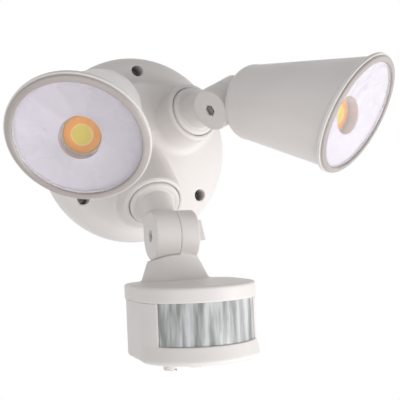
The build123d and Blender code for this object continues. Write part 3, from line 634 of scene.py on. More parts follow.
def surface_net(field, low, high, step):
    """Vertices at the mean of each crossed cell's edge crossings; a quad round each crossed edge."""
    axes = [np.arange(a, b + step, step) for a, b in zip(low, high)]
    grid = np.stack(np.meshgrid(*axes, indexing="ij"), axis=-1)
    values = field(grid)
    cells = np.array(values.shape) - 1
    total, count = np.zeros((*cells, 3)), np.zeros(cells)
    crossings = []
    for axis in range(3):
        lower = np.take(values, np.arange(cells[axis]), axis=axis)
        upper = np.take(values, np.arange(1, cells[axis] + 1), axis=axis)
        where = np.argwhere((lower < 0) != (upper < 0))
        a, b = lower[tuple(where.T)], upper[tuple(where.T)]
        spot = where.astype(float)
        spot[:, axis] += a / (a - b)
        others = [k for k in range(3) if k != axis]
        crossings.append((axis, others, where, a < 0))
        for shift in ((0, 0), (1, 0), (1, 1), (0, 1)):
            cell = where.copy()
            cell[:, others] -= shift
            inside = np.all((cell >= 0) & (cell < cells), axis=1)
            np.add.at(total, tuple(cell[inside].T), spot[inside])
            np.add.at(count, tuple(cell[inside].T), 1)
    index = np.full(cells, -1)
    index[count > 0] = np.arange((count > 0).sum())
    points = total[count > 0] / count[count > 0][:, None] * step + np.array(low)
    quads = []
    for axis, others, where, outward in crossings:
        corners = []
        for shift in ((0, 0), (1, 0), (1, 1), (0, 1)):
            cell = where.copy()
            cell[:, others] -= shift
            corners.append(index[tuple(np.clip(cell, 0, cells - 1).T)])
        quad = np.stack(corners, axis=1)
        turn = outward if axis != 1 else ~outward
        quads.append(np.where(turn[:, None], quad, quad[:, ::-1]))
    return points, np.concatenate(quads)


def settle(points, field, rounds=4, reach=0.02):
    """Newton steps: each vertex moves down the field's slope until it lies on the surface."""
    for _ in range(rounds):
        level = field(points)
        slope = np.stack(
            [(field(points + reach * e) - field(points - reach * e)) / (2 * reach) for e in np.eye(3)],
            axis=-1,
        )
        move = level[:, None] * slope / np.clip((slope**2).sum(axis=1), 0.25, None)[:, None]
        points = points - np.clip(move, -0.4, 0.4)
    return points


# %% [markdown]
# ## Putting a surface into a Blender mesh
# A piece is a new object whose mesh is in the object's own frame, in metres, so the object
# itself stays at the origin. The arrays go in with foreach_set. Doubles are merged and the
# normals made to point outwards before the shading is set.

# %% Mesh helper


def piece(name, points_mm, faces, body, nodes, slot, place=None, sharp=None):
    """Makes the mesh, gives it its body and its finish, and hides the CAD nodes it stands for."""
    points = points_mm if place is None else to_row(points_mm, place)
    mesh = bpy.data.meshes.new(name)
    mesh.vertices.add(len(points))
    mesh.vertices.foreach_set("co", (points * MM).astype(np.float32).ravel())
    mesh.loops.add(faces.size)
    mesh.loops.foreach_set("vertex_index", faces.astype(np.int32).ravel())
    mesh.polygons.add(len(faces))
    mesh.polygons.foreach_set("loop_start", np.arange(0, faces.size, faces.shape[1], dtype=np.int32))
    mesh.update(calc_edges=True)
    mesh.validate()
    work = bmesh.new()
    work.from_mesh(mesh)
    bmesh.ops.remove_doubles(work, verts=work.verts, dist=0.002 * MM)
    bmesh.ops.recalc_face_normals(work, faces=work.faces)
    loose = sum(not edge.is_manifold for edge in work.edges)
    work.to_mesh(mesh)
    work.free()
    mesh.shade_smooth()
    if sharp is not None:
        mesh.set_sharp_from_angle(angle=math.radians(sharp))
    shown = bpy.data.objects.new(name, mesh)
    bpy.context.collection.objects.link(shown)
    mesh.materials.append(finish[slot])
    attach(shown, body)
    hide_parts(*nodes)
    print(
        f"{name}: {len(mesh.vertices)} vertices, {len(mesh.polygons)} faces, "
        f"{loose} edges without two faces"
    )
    return shown


def vertex_places(shown):
    """The mesh's vertices in millimetres, read back after the merge."""
    places = np.zeros(len(shown.data.vertices) * 3, np.float32)
    shown.data.vertices.foreach_get("co", places)
    return places.reshape(-1, 3).astype(float) / MM


# %% [markdown]
# ## The base cover
# On the real light this is one moulding: a drafted rim, a rounded shoulder and a wide dome,
# with three fat round bosses and a raised bridge between the upper two. Their roots are well
# rounded, because plastic needs it to fill the mould. The dome is a sphere capped by a
# cylinder with a round edge; each boss is a cylinder along its collar's axis plus a foot that
# runs straight back to the wall; the bridge is a rounded box whose width and height run evenly
# between the bosses. A wall of even thickness comes from the same field, taken 2.5 mm in.

# %% Base cover
BASE_RADIUS, RIM_DEPTH, DOME_RISE, CROWN_RADIUS, SHOULDER = 79.6, 21.4, 23.6, 205.0, 11.4
BOSS_RADIUS, BOSS_EDGE, ROOT_BLEND, LOWER_ROOT = 24.4, 2.4, 6.0, 3.0
COLLAR_RECESS_RADIUS, COLLAR_RECESS_DEPTH = 20.9, 2.0
SCREW_CIRCLE, SCREW_RECESS_RADIUS, SCREW_SEAT = 65.55, 4.9, 17.0
SCREW_ANGLES = (90.0, -39.4, 219.4)
COVER_WALL = 2.5
BRIDGE_MIDDLE, BRIDGE_END = (33.0, 21.0), (25.97, 24.4)   # centre height and half width
BRIDGE_REACH, BRIDGE_FRONT, BRIDGE_CORNER = 38.74, 48.5, 3.0

wall_origin, wall_axes = WALL
collars = [
    ((arm_frames[name][0] - wall_origin) @ wall_axes.T, arm_frames[name][1][2] @ wall_axes.T)
    for name in ("right", "left", "sensor")
]


def boss_field(points, centre, direction):
    """Cylinder under the collar, and the same disc drawn straight back towards the wall."""
    along, across = axis_distances(points, centre, direction)
    shank = round_cap(across - BOSS_RADIUS, along, BOSS_EDGE)
    shank = np.maximum(shank, -48.0 - along)
    drop = along / direction[2]
    offset = points - centre
    offset[..., 2] -= drop
    foot = round_cap((np.linalg.norm(offset, axis=-1) - BOSS_RADIUS) * direction[2], along, BOSS_EDGE)
    return smooth_union(shank, foot, 2.0)


def bridge_field(points):
    """Rounded box across the two upper bosses, its width and height linear in the distance out."""
    out = np.clip(np.abs(points[..., 0]) / BRIDGE_REACH, 0.0, 1.0)
    centre = BRIDGE_MIDDLE[0] + (BRIDGE_END[0] - BRIDGE_MIDDLE[0]) * out
    half = BRIDGE_MIDDLE[1] + (BRIDGE_END[1] - BRIDGE_MIDDLE[1]) * out
    side = np.abs(points[..., 1] - centre) - half
    body = round_cap(side, points[..., 2] - BRIDGE_FRONT, BRIDGE_CORNER)
    return np.maximum(body, np.abs(points[..., 0]) - BRIDGE_REACH)


def cover_outside(points):
    """Dome, bridge and bosses blended, less the collar and screw recesses."""
    reach = np.hypot(points[..., 0], points[..., 1])
    crown = np.hypot(reach, points[..., 2] - (RIM_DEPTH + DOME_RISE - CROWN_RADIUS)) - CROWN_RADIUS
    body = round_cap(reach - BASE_RADIUS, crown, SHOULDER)
    raised = bridge_field(points)
    for centre, direction in collars[:2]:
        raised = smooth_union(raised, boss_field(points, centre, direction), 3.0)
    body = smooth_union(body, raised, ROOT_BLEND)
    body = smooth_union(body, boss_field(points, *collars[2]), LOWER_ROOT)
    for centre, direction in collars:
        along, across = axis_distances(points, centre, direction)
        recess = np.maximum(across - COLLAR_RECESS_RADIUS, -COLLAR_RECESS_DEPTH - along)
        body = smooth_cut(body, recess, 0.4)
    for angle in np.radians(SCREW_ANGLES):
        spot = np.array([SCREW_CIRCLE * math.cos(angle), SCREW_CIRCLE * math.sin(angle)])
        across = np.linalg.norm(points[..., :2] - spot, axis=-1)
        body = smooth_cut(body, np.maximum(across - SCREW_RECESS_RADIUS, SCREW_SEAT - points[..., 2]), 0.7)
    return body


def cover_field(points):
    """The wall: inside the outer surface, outside the one 2.5 mm in, and in front of the wall."""
    outside = cover_outside(points)
    return np.maximum(np.maximum(outside, -(outside + COVER_WALL)), 0.1 - points[..., 2])


COVER_STEP = 1.2
points, quads = surface_net(cover_field, (-83.0, -83.0, -1.9), (83.0, 83.0, 86.0), COVER_STEP)
points = settle(points, cover_field)
piece("moulded_cover", points, quads, "base", ["base_cover"], "cover_white", WALL)

# %% [markdown]
# ## The three arms
# Each arm is one moulding: a round swivel collar with a soft rim, a neck that starts round and
# flattens to the width of its ear, and the round ear that the knuckle bolt clamps. The same
# field serves all three, with the lengths of the upper or the lower kind. The other piece's
# ear needs room beside this one, so a cylinder is taken out there, and the nut's hexagonal
# pocket is the largest of three distances across its flats.

# %% Arms
COLLAR_RADIUS, COLLAR_LOW, COLLAR_RISE, COLLAR_EDGE = 20.4, -1.75, 3.2, 2.6
SPIGOT_RADIUS, SPIGOT_END, WIRE_WAY = 11.9, -15.0, 5.0
NUT_FLATS, NUT_POCKET = 8.3, 5.5
EAR_EDGE, MATING_EDGE, EAR_ROOM, BOLT_BORE = 1.2, 0.3, 0.6, 2.58
UPPER = {"knuckle": (0.0, 5.79, 37.52), "ear": 16.7, "low": 0.15, "high": 17.7, "root": 15.5, "tip": 13.0}
LOWER = {"knuckle": (2.9, 0.0, 40.84), "ear": 18.63, "low": -17.1, "high": 1.95, "root": 15.5, "tip": 13.0}


def elliptic_distance(x, y, half_x, half_y):
    """Distance to an ellipse: the scaled radius less one, times the smaller half axis."""
    return (np.hypot(x / half_x, y / half_y) - 1.0) * np.minimum(half_x, half_y)


def arm_field(size):
    """Collar, neck and ear blended, less the room for the other ear, the pocket and the bore."""
    centre = np.array(size["knuckle"])
    low, high = size["low"], size["high"]
    side = 1.0 if high > -low else -1.0
    tip = centre + np.array([(low + high) / 2, 0.0, 0.0])

    def field(points):
        reach = np.hypot(points[..., 0], points[..., 1])
        collar = round_cap(reach - COLLAR_RADIUS, points[..., 2] - COLLAR_RISE, COLLAR_EDGE)
        collar = np.maximum(collar, COLLAR_LOW - points[..., 2])
        share = np.clip(points[..., 2] / tip[2], 0.0, 1.0)
        half_x = size["root"] + ((high - low) / 2 - size["root"]) * share
        half_y = size["root"] + (size["tip"] - size["root"]) * share
        neck = elliptic_distance(
            points[..., 0] - tip[0] * share, points[..., 1] - tip[1] * share, half_x, half_y
        )
        neck = np.maximum(neck, points[..., 2] - tip[2])
        local = points - centre
        around = np.hypot(local[..., 1], local[..., 2])
        outward = local[..., 0] * side
        inner, outer = (low, high) if side > 0 else (-high, -low)
        body = smooth_union(neck, around - size["ear"], 4.0)
        body = round_cap(body, outward - outer, EAR_EDGE)
        body = smooth_union(collar, body, 1.6)
        ear_room = np.maximum(around - size["ear"] - EAR_ROOM, outward - inner)
        body = smooth_cut(body, ear_room, MATING_EDGE)
        across = np.abs(local[..., 1]) * math.sqrt(0.75) + np.abs(local[..., 2]) * 0.5
        hexagon = np.maximum(np.abs(local[..., 2]), across) - NUT_FLATS / 2
        pocket = np.maximum(hexagon, outer - NUT_POCKET - outward)
        body = smooth_cut(body, pocket, 0.3)
        body = np.maximum(body, BOLT_BORE - around)
        spigot = np.maximum(
            reach - SPIGOT_RADIUS, np.maximum(points[..., 2] - 1.0, SPIGOT_END - points[..., 2])
        )
        wire_way = np.maximum(reach - WIRE_WAY, points[..., 2] - COLLAR_RISE)
        return np.maximum(np.minimum(body, spigot), -wire_way)

    return field


ARM_STEP = 0.6
arm_kinds = {"upper": UPPER, "lower": LOWER}
arm_meshes = {}
for kind, size in arm_kinds.items():
    shape = arm_field(size)
    points, quads = surface_net(shape, (-24.0, -24.0, -16.0), (24.0, 26.0, 61.0), ARM_STEP)
    arm_meshes[kind] = settle(points, shape), quads
for name, kind in (("left", "upper"), ("right", "upper"), ("sensor", "lower")):
    points, quads = arm_meshes[kind]
    piece(f"moulded_arm_{name}", points, quads, f"arm_{name}", [f"arm_{name}"], "arm_white", arm_frames[name])

# %% [markdown]
# ## The lamp heads
# A head is a die-cast cup: an ear, a rounded back, a long cone and an oblique round mouth, on
# which the bezel clips. A cone between two circles that aren't parallel is a ruled surface.
# For any point the share of the way along is found first, by stepping until the point lies in
# the plane of that section, and then its distance to the section's ellipse.

# %% Head housings
HEAD_SHIFT, HEAD_BACK, HEAD_SHOULDER, BACK_RADIUS, BACK_ROUND = -6.5, 15.2, 28.0, 29.5, 10.5
MOUTH_RADIUS, RIM_REACH, BEZEL_DEPTH = 42.9, 121.3, 5.6
FACE_CUT = math.radians(19.3)
FLANGE_START, FLANGE_REACH = 0.965, 1.6    # share of the cone, and how far the flange stands out
HEAD_WALL = 2.4
EAR_RADIUS, EAR_LOW, EAR_HIGH = 16.7, -17.7, -0.15

face_normal = np.array([0.0, math.sin(FACE_CUT), math.cos(FACE_CUT)])
face_up = np.array([0.0, math.cos(FACE_CUT), -math.sin(FACE_CUT)])
back_centre = np.array([HEAD_SHIFT, 0.0, HEAD_SHOULDER])
mouth_centre = np.array([HEAD_SHIFT, 0.0, RIM_REACH]) - BEZEL_DEPTH * face_normal


def section(share, back_radius, mouth_radius):
    """Centre, up vector and half width of the cone's section at a share of the way along."""
    share = share[..., None]
    centre = back_centre + (mouth_centre - back_centre) * share
    up = back_radius * (1 - share) * np.array([0.0, 1.0, 0.0]) + mouth_radius * share * face_up
    return centre, up, back_radius + (mouth_radius - back_radius) * share[..., 0]


def cone_distance(points, inset):
    """Distance to the ruled cone, with its back end drawn on as a straight tube."""
    share = np.clip((points[..., 2] - HEAD_SHOULDER) / (mouth_centre[2] - HEAD_SHOULDER), 0.0, 1.15)
    length = np.linalg.norm(mouth_centre - back_centre)
    for _ in range(5):
        centre, up, _half = section(share, BACK_RADIUS - inset, MOUTH_RADIUS - inset)
        normal = np.cross(np.array([1.0, 0.0, 0.0]), up)
        normal /= np.linalg.norm(normal, axis=-1, keepdims=True)
        share = np.clip(share + ((points - centre) * normal).sum(-1) / length, 0.0, 1.15)
    centre, up, half = section(share, BACK_RADIUS - inset, MOUTH_RADIUS - inset)
    tall = np.linalg.norm(up, axis=-1)
    offset = points - centre
    rise = (offset * up).sum(-1) / tall
    return elliptic_distance(offset[..., 0], rise, half, tall), share


def housing_outside(points):
    """Cone, flange and ear blended, less the arm's room and the bolt bore, cut off at the mouth."""
    side, share = cone_distance(points, 0.0)
    flare = FLANGE_REACH * np.clip((share - FLANGE_START) / (1.0 - FLANGE_START), 0.0, 1.0) ** 2
    front = (points - mouth_centre) @ face_normal
    body = round_cap(side - flare, HEAD_BACK - points[..., 2], BACK_ROUND)
    around = np.hypot(points[..., 1], points[..., 2])
    lug = np.maximum(np.abs(points[..., 1]) - EAR_RADIUS + 2.0, -points[..., 2])
    lug = np.maximum(lug, points[..., 2] - HEAD_BACK - 9.0)
    ear = round_cap(np.minimum(around - EAR_RADIUS, lug), EAR_LOW - points[..., 0], EAR_EDGE)
    ear = round_cap(ear, points[..., 0] - EAR_HIGH, MATING_EDGE)
    body = smooth_union(body, ear, 3.0)
    arm_room = np.maximum(around - EAR_RADIUS - EAR_ROOM, EAR_HIGH - points[..., 0])
    body = np.maximum(body, -arm_room)
    body = np.maximum(body, BOLT_BORE - around)
    return np.maximum(body, front)


def housing_field(points):
    """The cup: the outside less the same cone, one wall in and open at the mouth."""
    inside, _share = cone_distance(points, HEAD_WALL)
    inside = round_cap(inside, HEAD_SHOULDER - points[..., 2], 6.0)
    return np.maximum(housing_outside(points), -inside)


HEAD_STEP = 1.0
points, quads = surface_net(housing_field, (-53.0, -47.0, -18.5), (40.0, 47.0, 137.0), HEAD_STEP)
points = settle(points, housing_field)
for side in ("left", "right"):
    piece(
        f"cast_housing_{side}",
        points,
        quads,
        f"head_{side}",
        [f"housing_{side}"],
        "head_white",
        head_frames[side],
    )

# %% [markdown]
# ## Bezel, cover, seal and reflector
# These are turned shapes: a closed outline carried round an axis. A rounded outline comes from
# a polygon whose corners are replaced by arcs. Bezel, clear cover and seal turn round the
# face's own normal; the cover lies flush in the bezel's opening, on the seal. The dish is a
# lathe shape whose front edge is tipped: each of its lines runs from the round mouth at the LED
# to the oblique rim, and it is pressed in broad facets.

# %% Turned pieces


def rounded_outline(corners, radii, steps=6):
    """Polygon with arcs: each corner is left at a distance of radius x tan(half turn), on a circle."""
    corners = np.asarray(corners, float)
    before, after = np.roll(corners, 1, axis=0) - corners, np.roll(corners, -1, axis=0) - corners
    before /= np.linalg.norm(before, axis=1, keepdims=True)
    after /= np.linalg.norm(after, axis=1, keepdims=True)
    radii = np.broadcast_to(np.asarray(radii, float), len(corners))
    half = np.arccos(np.clip((before * after).sum(1), -1, 1)) / 2
    leave = (radii / np.tan(half))[:, None]
    middle = before + after
    middle /= np.linalg.norm(middle, axis=1, keepdims=True)
    centre = corners + middle * (radii / np.sin(half))[:, None]
    start, end = corners + before * leave - centre, corners + after * leave - centre
    share = np.linspace(0, 1, steps)[None, :, None]
    blend = start[:, None] * (1 - share) + end[:, None] * share
    length = np.linalg.norm(blend, axis=-1, keepdims=True)
    arc = blend / np.where(length > 0, length, 1) * radii[:, None, None]
    return (centre[:, None] + arc).reshape(-1, 2)


def turned(outline, segments=160):
    """Each (radius, height) goes round z: x = r cos t, y = r sin t; faces join neighbours."""
    angle = np.linspace(0, 2 * math.pi, segments, endpoint=False)
    radius, height = outline[:, :1], outline[:, 1:]
    points = np.stack(
        [radius * np.cos(angle), radius * np.sin(angle), np.broadcast_to(height, (len(outline), segments))],
        axis=-1,
    )
    return points.reshape(-1, 3), ring_faces(len(outline), segments)


def ring_faces(rows, columns, closed=True):
    """Quads of a grid that wraps round its columns, and round its rows when closed."""
    row = np.arange(rows if closed else rows - 1)[:, None]
    column = np.arange(columns)[None, :]
    next_row, next_column = (row + 1) % rows, (column + 1) % columns
    corners = (row * columns + column, row * columns + next_column, next_row * columns + next_column,
               next_row * columns + column)
    return np.stack(np.broadcast_arrays(*corners), axis=-1).reshape(-1, 4)


def face_frame(side):
    """Frame of the oblique face: z is its normal, the origin its centre at the bezel's back."""
    origin, axes = head_frames[side]
    return origin + mouth_centre @ axes, np.array([axes[0], face_up @ axes, face_normal @ axes])


BEZEL_OUTLINE = [
    (40.7, 0.0), (45.0, 0.0), (45.8, 0.9), (45.8, 3.1), (44.6, 3.3), (44.5, 3.8), (44.9, 4.0), (44.1, 5.0),
    (42.0, 5.6), (40.9, 5.6), (40.2, 4.8), (40.2, 1.9), (40.7, 1.9),
]
BEZEL_ROUNDS = [0.2, 0.4, 0.4, 0.35, 0.15, 0.15, 0.2, 0.5, 0.7, 0.3, 0.3, 0.1, 0.1]
LIP_TOP = 3.5
LENS_OUTLINE = [(0.0, 1.9), (40.1, 1.9), (40.1, 3.8), (0.0, 3.8)]
SEAL_OUTLINE = [(39.7, 1.45), (40.6, 1.45), (40.6, 1.86), (39.7, 1.86)]

bezel_points, bezel_faces = turned(rounded_outline(BEZEL_OUTLINE, BEZEL_ROUNDS))
lens_points, lens_faces = turned(np.array(LENS_OUTLINE))
seal_points, seal_faces = turned(rounded_outline(SEAL_OUTLINE, 0.12))
for side in ("left", "right"):
    body, place = f"head_{side}", face_frame(side)
    bezel = piece(
        f"clipped_bezel_{side}",
        bezel_points,
        bezel_faces,
        body,
        [f"bezel_{side}"],
        "bezel_white",
        place,
        50,
    )
    height = (vertex_places(bezel) - place[0]) @ place[1][2]
    # The ring above the lip gets the material's painted shade: the frame attribute is 1 there.
    in_painted_ring = bezel.data.attributes.new("frame", "FLOAT", "POINT")
    in_painted_ring.data.foreach_set("value", (height > LIP_TOP).astype(np.float32))
    piece(f"clear_cover_{side}", lens_points, lens_faces, body, [f"lens_{side}"], "lens_clear", place, 30)
    piece(
        f"silicone_seal_{side}",
        seal_points,
        seal_faces,
        body,
        [f"lens_gasket_{side}"],
        "seal_silicone",
        place,
        50,
    )

# %% Reflector
LED_REACH, TUBE_DEPTH, TUBE_RADIUS, TUBE_WALL = 100.8, 8.6, 13.7, 1.2
DISH_RIM_RADIUS, DISH_RIM_SETBACK, FACETS, FACET_TURN = 39.6, 4.2, 12, 0.3
DISH_FLANGE_RADIUS = 40.4
DISH_SHARES = np.linspace(0.0, 1.0, 22)

rim_centre = np.array([HEAD_SHIFT, 0.0, RIM_REACH]) - DISH_RIM_SETBACK * face_normal
angles = np.linspace(0, 2 * math.pi, FACETS * 8, endpoint=False)
phase = (angles / (2 * math.pi) * FACETS + FACET_TURN) % 1.0
flat_facet = math.cos(math.pi / FACETS) / np.cos((phase - 0.5) * 2 * math.pi / FACETS)


def dish_line(mouth_radius, rim_radius, drop):
    """Rows from the mouth at the LED to the oblique rim, bowed a little and flattened in facets."""
    around = np.stack([np.cos(angles), np.sin(angles)], axis=-1)
    mouth = np.concatenate(
        [around * mouth_radius, np.full((len(angles), 1), LED_REACH + TUBE_DEPTH - drop)], axis=1
    )
    mouth[:, 0] += HEAD_SHIFT
    rim = rim_centre - drop * face_normal + rim_radius * (
        around[:, :1] * np.array([1.0, 0.0, 0.0]) + around[:, 1:] * face_up
    )
    share = DISH_SHARES[:, None, None]
    line = mouth * (1 - share) + rim * share
    bow = (np.sin(share * math.pi) * 1.2) * np.array([0.0, 0.0, -1.0])
    pressed = (
        (flat_facet - 1.0)[None, :, None]
        * np.clip(share / 0.2, 0.0, 1.0)
        * np.clip((1.0 - share) / 0.12, 0.0, 1.0)
    )
    outward = np.concatenate([around, np.zeros((len(angles), 1))], axis=1)[None]
    return line + bow + pressed * outward * rim_radius


def tube_ring(radius, height):
    """One ring of the tube round the LED."""
    ring = np.stack(
        [np.cos(angles) * radius + HEAD_SHIFT, np.sin(angles) * radius, np.full(len(angles), height)], -1
    )
    return ring[None]


front_rows = dish_line(TUBE_RADIUS, DISH_RIM_RADIUS - 0.4, 0.0)
back_rows = dish_line(TUBE_RADIUS + TUBE_WALL, DISH_RIM_RADIUS - 0.4, 1.6)[::-1]
flange = [dish_line(TUBE_RADIUS, DISH_FLANGE_RADIUS, drop)[-1:] for drop in (0.0, 0.8)]
rows = np.concatenate([
    tube_ring(TUBE_RADIUS, LED_REACH + 0.4), front_rows, *flange, back_rows,
    tube_ring(TUBE_RADIUS + TUBE_WALL, LED_REACH + 0.4),
])
for side in ("left", "right"):
    piece(
        f"dished_reflector_{side}", rows.reshape(-1, 3), ring_faces(len(rows), len(angles)), f"head_{side}",
        [f"reflector_{side}"], "reflector_white", head_frames[side], 40,
    )

# %% [markdown]
# ## The LED disc
# A shallow drop of gel on its tile: a turned outline with a rounded shoulder. Its colours
# depend on the distance to its own centre, so each head has its own copy of the material.

# %% LED discs
LED_RADIUS, LED_CORE = 12.3, 6.2
GEL_OUTLINE = [(0.0, 0.0), (LED_RADIUS, 0.0), (LED_RADIUS, 0.85), (0.0, 0.85)]
gel_points, gel_faces = turned(rounded_outline(GEL_OUTLINE, [0.0, 0.0, 0.6, 0.0], 8), 96)
gel_points[:, 0] += HEAD_SHIFT
gel_points[:, 2] += LED_REACH
for side in ("left", "right"):
    centre = to_row(np.array([HEAD_SHIFT, 0.0, LED_REACH + 0.6]), head_frames[side]) * MM
    finish["led_phosphor"] = phosphor(centre, LED_RADIUS, LED_CORE)
    piece(
        f"led_gel_{side}", gel_points, gel_faces, f"head_{side}", [f"led_phosphor_{side}"], "led_phosphor",
        head_frames[side], 40,
    )

# %% [markdown]
# ## The sensor's cap and body
# Seen from above the sensor is a D: a half circle in front, straight sides and a flat back.
# The cap is a low D with a soft top edge; a neck that is elliptic in section flares out of it
# under the ear. The body is a deeper D with a band cut out of its front for the window. The
# distance to a D is that of a circle in front of its centre and of a rounded box behind it.

# %% Sensor mouldings
D_CENTRE, D_BACK, D_RADIUS, D_CORNER = 47.7, -3.7, 42.4, 23.5
CAP_TOP, CAP_BOTTOM, CAP_OVERHANG, BODY_BOTTOM = 34.0, 44.8, 0.8, 86.2
NECK_FOOT, NECK_HEAD, NECK_FORWARD = (27.5, 10.0), (17.1, 12.5), 5.5
SENSOR_EAR, SENSOR_LOW, SENSOR_HIGH = 18.63, 2.25, 17.1
WINDOW_BOTTOM, WINDOW_HALF = 73.7, math.radians(57.0)
TRAY_FLARE = 2.0    # how far the tray below the window stands out in front
SENSOR_WALL, TONGUE = 2.2, 3.0


def d_distance(points):
    """Distance to a circle in front of the centre, and to a box with round corners behind it."""
    ahead = points[..., 1] - D_CENTRE
    circle = np.hypot(points[..., 0], ahead) - D_RADIUS
    box = round_cap(np.abs(points[..., 0]) - D_RADIUS, D_BACK - points[..., 1], D_CORNER)
    return np.where(ahead > 0, circle, box)


def cap_field(points):
    """Low D, flared neck and ear, less the arm's ear, the bolt bore and the hollow below."""
    plan = d_distance(points)
    lid = round_cap(plan - CAP_OVERHANG, CAP_TOP - points[..., 2], 2.0)
    lid = round_cap(lid, points[..., 2] - CAP_BOTTOM, 0.4)
    top = SENSOR_EAR - 7.0
    share = np.clip((points[..., 2] - top) / (CAP_TOP + 1.0 - top), 0.0, 1.0)
    half_x = NECK_HEAD[0] + (NECK_FOOT[0] - NECK_HEAD[0]) * share
    half_y = NECK_HEAD[1] + (NECK_FOOT[1] - NECK_HEAD[1]) * share
    forward = points[..., 1] - NECK_FORWARD * share
    neck = elliptic_distance(points[..., 0], forward, half_x, half_y) * 0.85
    neck = np.maximum(neck, np.maximum(top - points[..., 2], points[..., 2] - CAP_TOP - 1.5))
    around = np.hypot(points[..., 1], points[..., 2])
    arm_room = np.maximum(around - SENSOR_EAR - 0.5, points[..., 0] - SENSOR_LOW)
    neck = smooth_cut(neck, arm_room, 0.5)
    ear = round_cap(around - SENSOR_EAR, points[..., 0] - SENSOR_HIGH, EAR_EDGE)
    ear = round_cap(ear, SENSOR_LOW - points[..., 0], MATING_EDGE)
    body = smooth_union(lid, neck, 1.6)
    body = smooth_union(body, ear, 1.2)
    body = np.maximum(body, BOLT_BORE - around)
    hollow = np.maximum(plan + SENSOR_WALL, CAP_TOP + SENSOR_WALL - points[..., 2])
    return np.maximum(body, -hollow)


def body_field(points):
    """Deep D with rounded bottom edge, hollow, with the window's band taken out of its front."""
    plan = d_distance(points)
    ahead = points[..., 1] - D_CENTRE
    low_down = np.clip((points[..., 2] - WINDOW_BOTTOM) / (BODY_BOTTOM - WINDOW_BOTTOM - 3.0), 0.0, 1.0)
    flare = TRAY_FLARE * np.clip(ahead / (0.3 * D_RADIUS), 0.0, 1.0) * low_down
    body = round_cap(plan - flare, points[..., 2] - BODY_BOTTOM, 3.0)
    body = np.maximum(body, CAP_BOTTOM + 0.02 - points[..., 2])
    in_tongue = np.abs(points[..., 2] - CAP_BOTTOM) - TONGUE
    body = np.minimum(body, np.maximum(plan + SENSOR_WALL + 0.15, in_tongue))
    turn = np.abs(np.arctan2(points[..., 0], ahead))
    reach = np.hypot(points[..., 0], ahead)
    band = np.maximum((turn - WINDOW_HALF) * np.clip(reach, 1.0, None), points[..., 2] - WINDOW_BOTTOM)
    band = np.maximum(band, D_RADIUS - 5.5 - reach)
    body = smooth_cut(body, band, 0.5)
    hollow = np.maximum(plan + 2 * SENSOR_WALL, points[..., 2] - BODY_BOTTOM + SENSOR_WALL)
    return np.maximum(body, -hollow)


SENSOR_STEP = 0.8
points, quads = surface_net(cap_field, (-45.6, -20.6, -20.0), (45.6, 93.0, 46.4), SENSOR_STEP)
piece(
    "moulded_sensor_cap",
    settle(points, cap_field),
    quads,
    "sensor",
    ["sensor_cap"],
    "sensor_white",
    SENSOR,
)
points, quads = surface_net(body_field, (-44.6, -6.0, 39.0), (44.6, 93.0, 88.4), SENSOR_STEP)
piece(
    "moulded_sensor_body",
    settle(points, body_field),
    quads,
    "sensor",
    ["sensor_body"],
    "sensor_white",
    SENSOR,
)

# %% [markdown]
# ## The ribbed window
# A thin curved sheet, a grid of angle by height. It is pressed into upright strips, each
# slightly crowned, so the strips catch the light one by one. Its UV map counts strips across
# and runs from minus one to one up the window, which is what the material's rings follow.

# %% Window
WINDOW_OUTER, WINDOW_SHEET, STRIPS = 41.5, 1.0, 9
WINDOW_TOP_GAP, WINDOW_SIDE_GAP = 0.2, math.radians(0.6)
columns, levels = STRIPS * 12 + 1, 14

turn = np.linspace(-WINDOW_HALF + WINDOW_SIDE_GAP, WINDOW_HALF - WINDOW_SIDE_GAP, columns)
height = np.linspace(CAP_BOTTOM + WINDOW_TOP_GAP, WINDOW_BOTTOM - WINDOW_TOP_GAP, levels)
strip_place = np.linspace(0.0, STRIPS, columns)
crown = np.sin((strip_place % 1.0) * math.pi) * 0.35 - 0.35


def window_sheet(radius):
    """Columns go round the front half circle, rows go down; the crowned strips stand proud."""
    x = (radius + crown) * np.sin(turn)
    y = D_CENTRE + (radius + crown) * np.cos(turn)
    return np.stack(np.broadcast_arrays(x[None, :], y[None, :], height[:, None]), axis=-1)


outer, inner = window_sheet(WINDOW_OUTER), window_sheet(WINDOW_OUTER - WINDOW_SHEET)
loop = np.concatenate([outer, inner[:, ::-1]], axis=1)
window_points = loop.reshape(-1, 3)
around = loop.shape[1]
window_quads = ring_faces(levels, around, closed=False)
lid_columns = np.arange(columns - 1)
lids = [
    np.stack(
        [lid_columns, lid_columns + 1, around - 2 - lid_columns, around - 1 - lid_columns], axis=1
    ) + row * around
    for row in (0, levels - 1)
]
window = piece(
    "ribbed_window", window_points, np.concatenate([window_quads, *lids]), "sensor", ["sensor_window"],
    "window_fresnel", SENSOR, 50,
)
layer = window.data.uv_layers.new(name="strips")
corner_vertex = np.zeros(len(window.data.loops), np.int32)
window.data.loops.foreach_get("vertex_index", corner_vertex)
local = (vertex_places(window) - SENSOR[0]) @ SENSOR[1].T
u = (np.arctan2(local[:, 0], local[:, 1] - D_CENTRE) + WINDOW_HALF) / (2 * WINDOW_HALF) * STRIPS
v = (local[:, 2] - (CAP_BOTTOM + WINDOW_BOTTOM) / 2) / ((WINDOW_BOTTOM - CAP_BOTTOM) / 2)
layer.data.foreach_set("uv", np.stack([u, v], axis=-1)[corner_vertex].ravel())

# %% [markdown]
# ## Finishes for the pieces that stay as the CAD made them
# Screws, bolts, nuts, seals, the lever, the dials and everything inside keep their CAD shape.
# Each gets the finish that the record names for it.

# %% Assign finishes
slot_of = {entry["node"]: entry["material_slot"] for entry in frame["record"]["subparts"]}
for name, shown in frame["nodes"].items():
    material = finish[slot_of[name]]
    for slot in shown.material_slots:
        slot.material = material
print("nodes dressed:", len(frame["nodes"]))

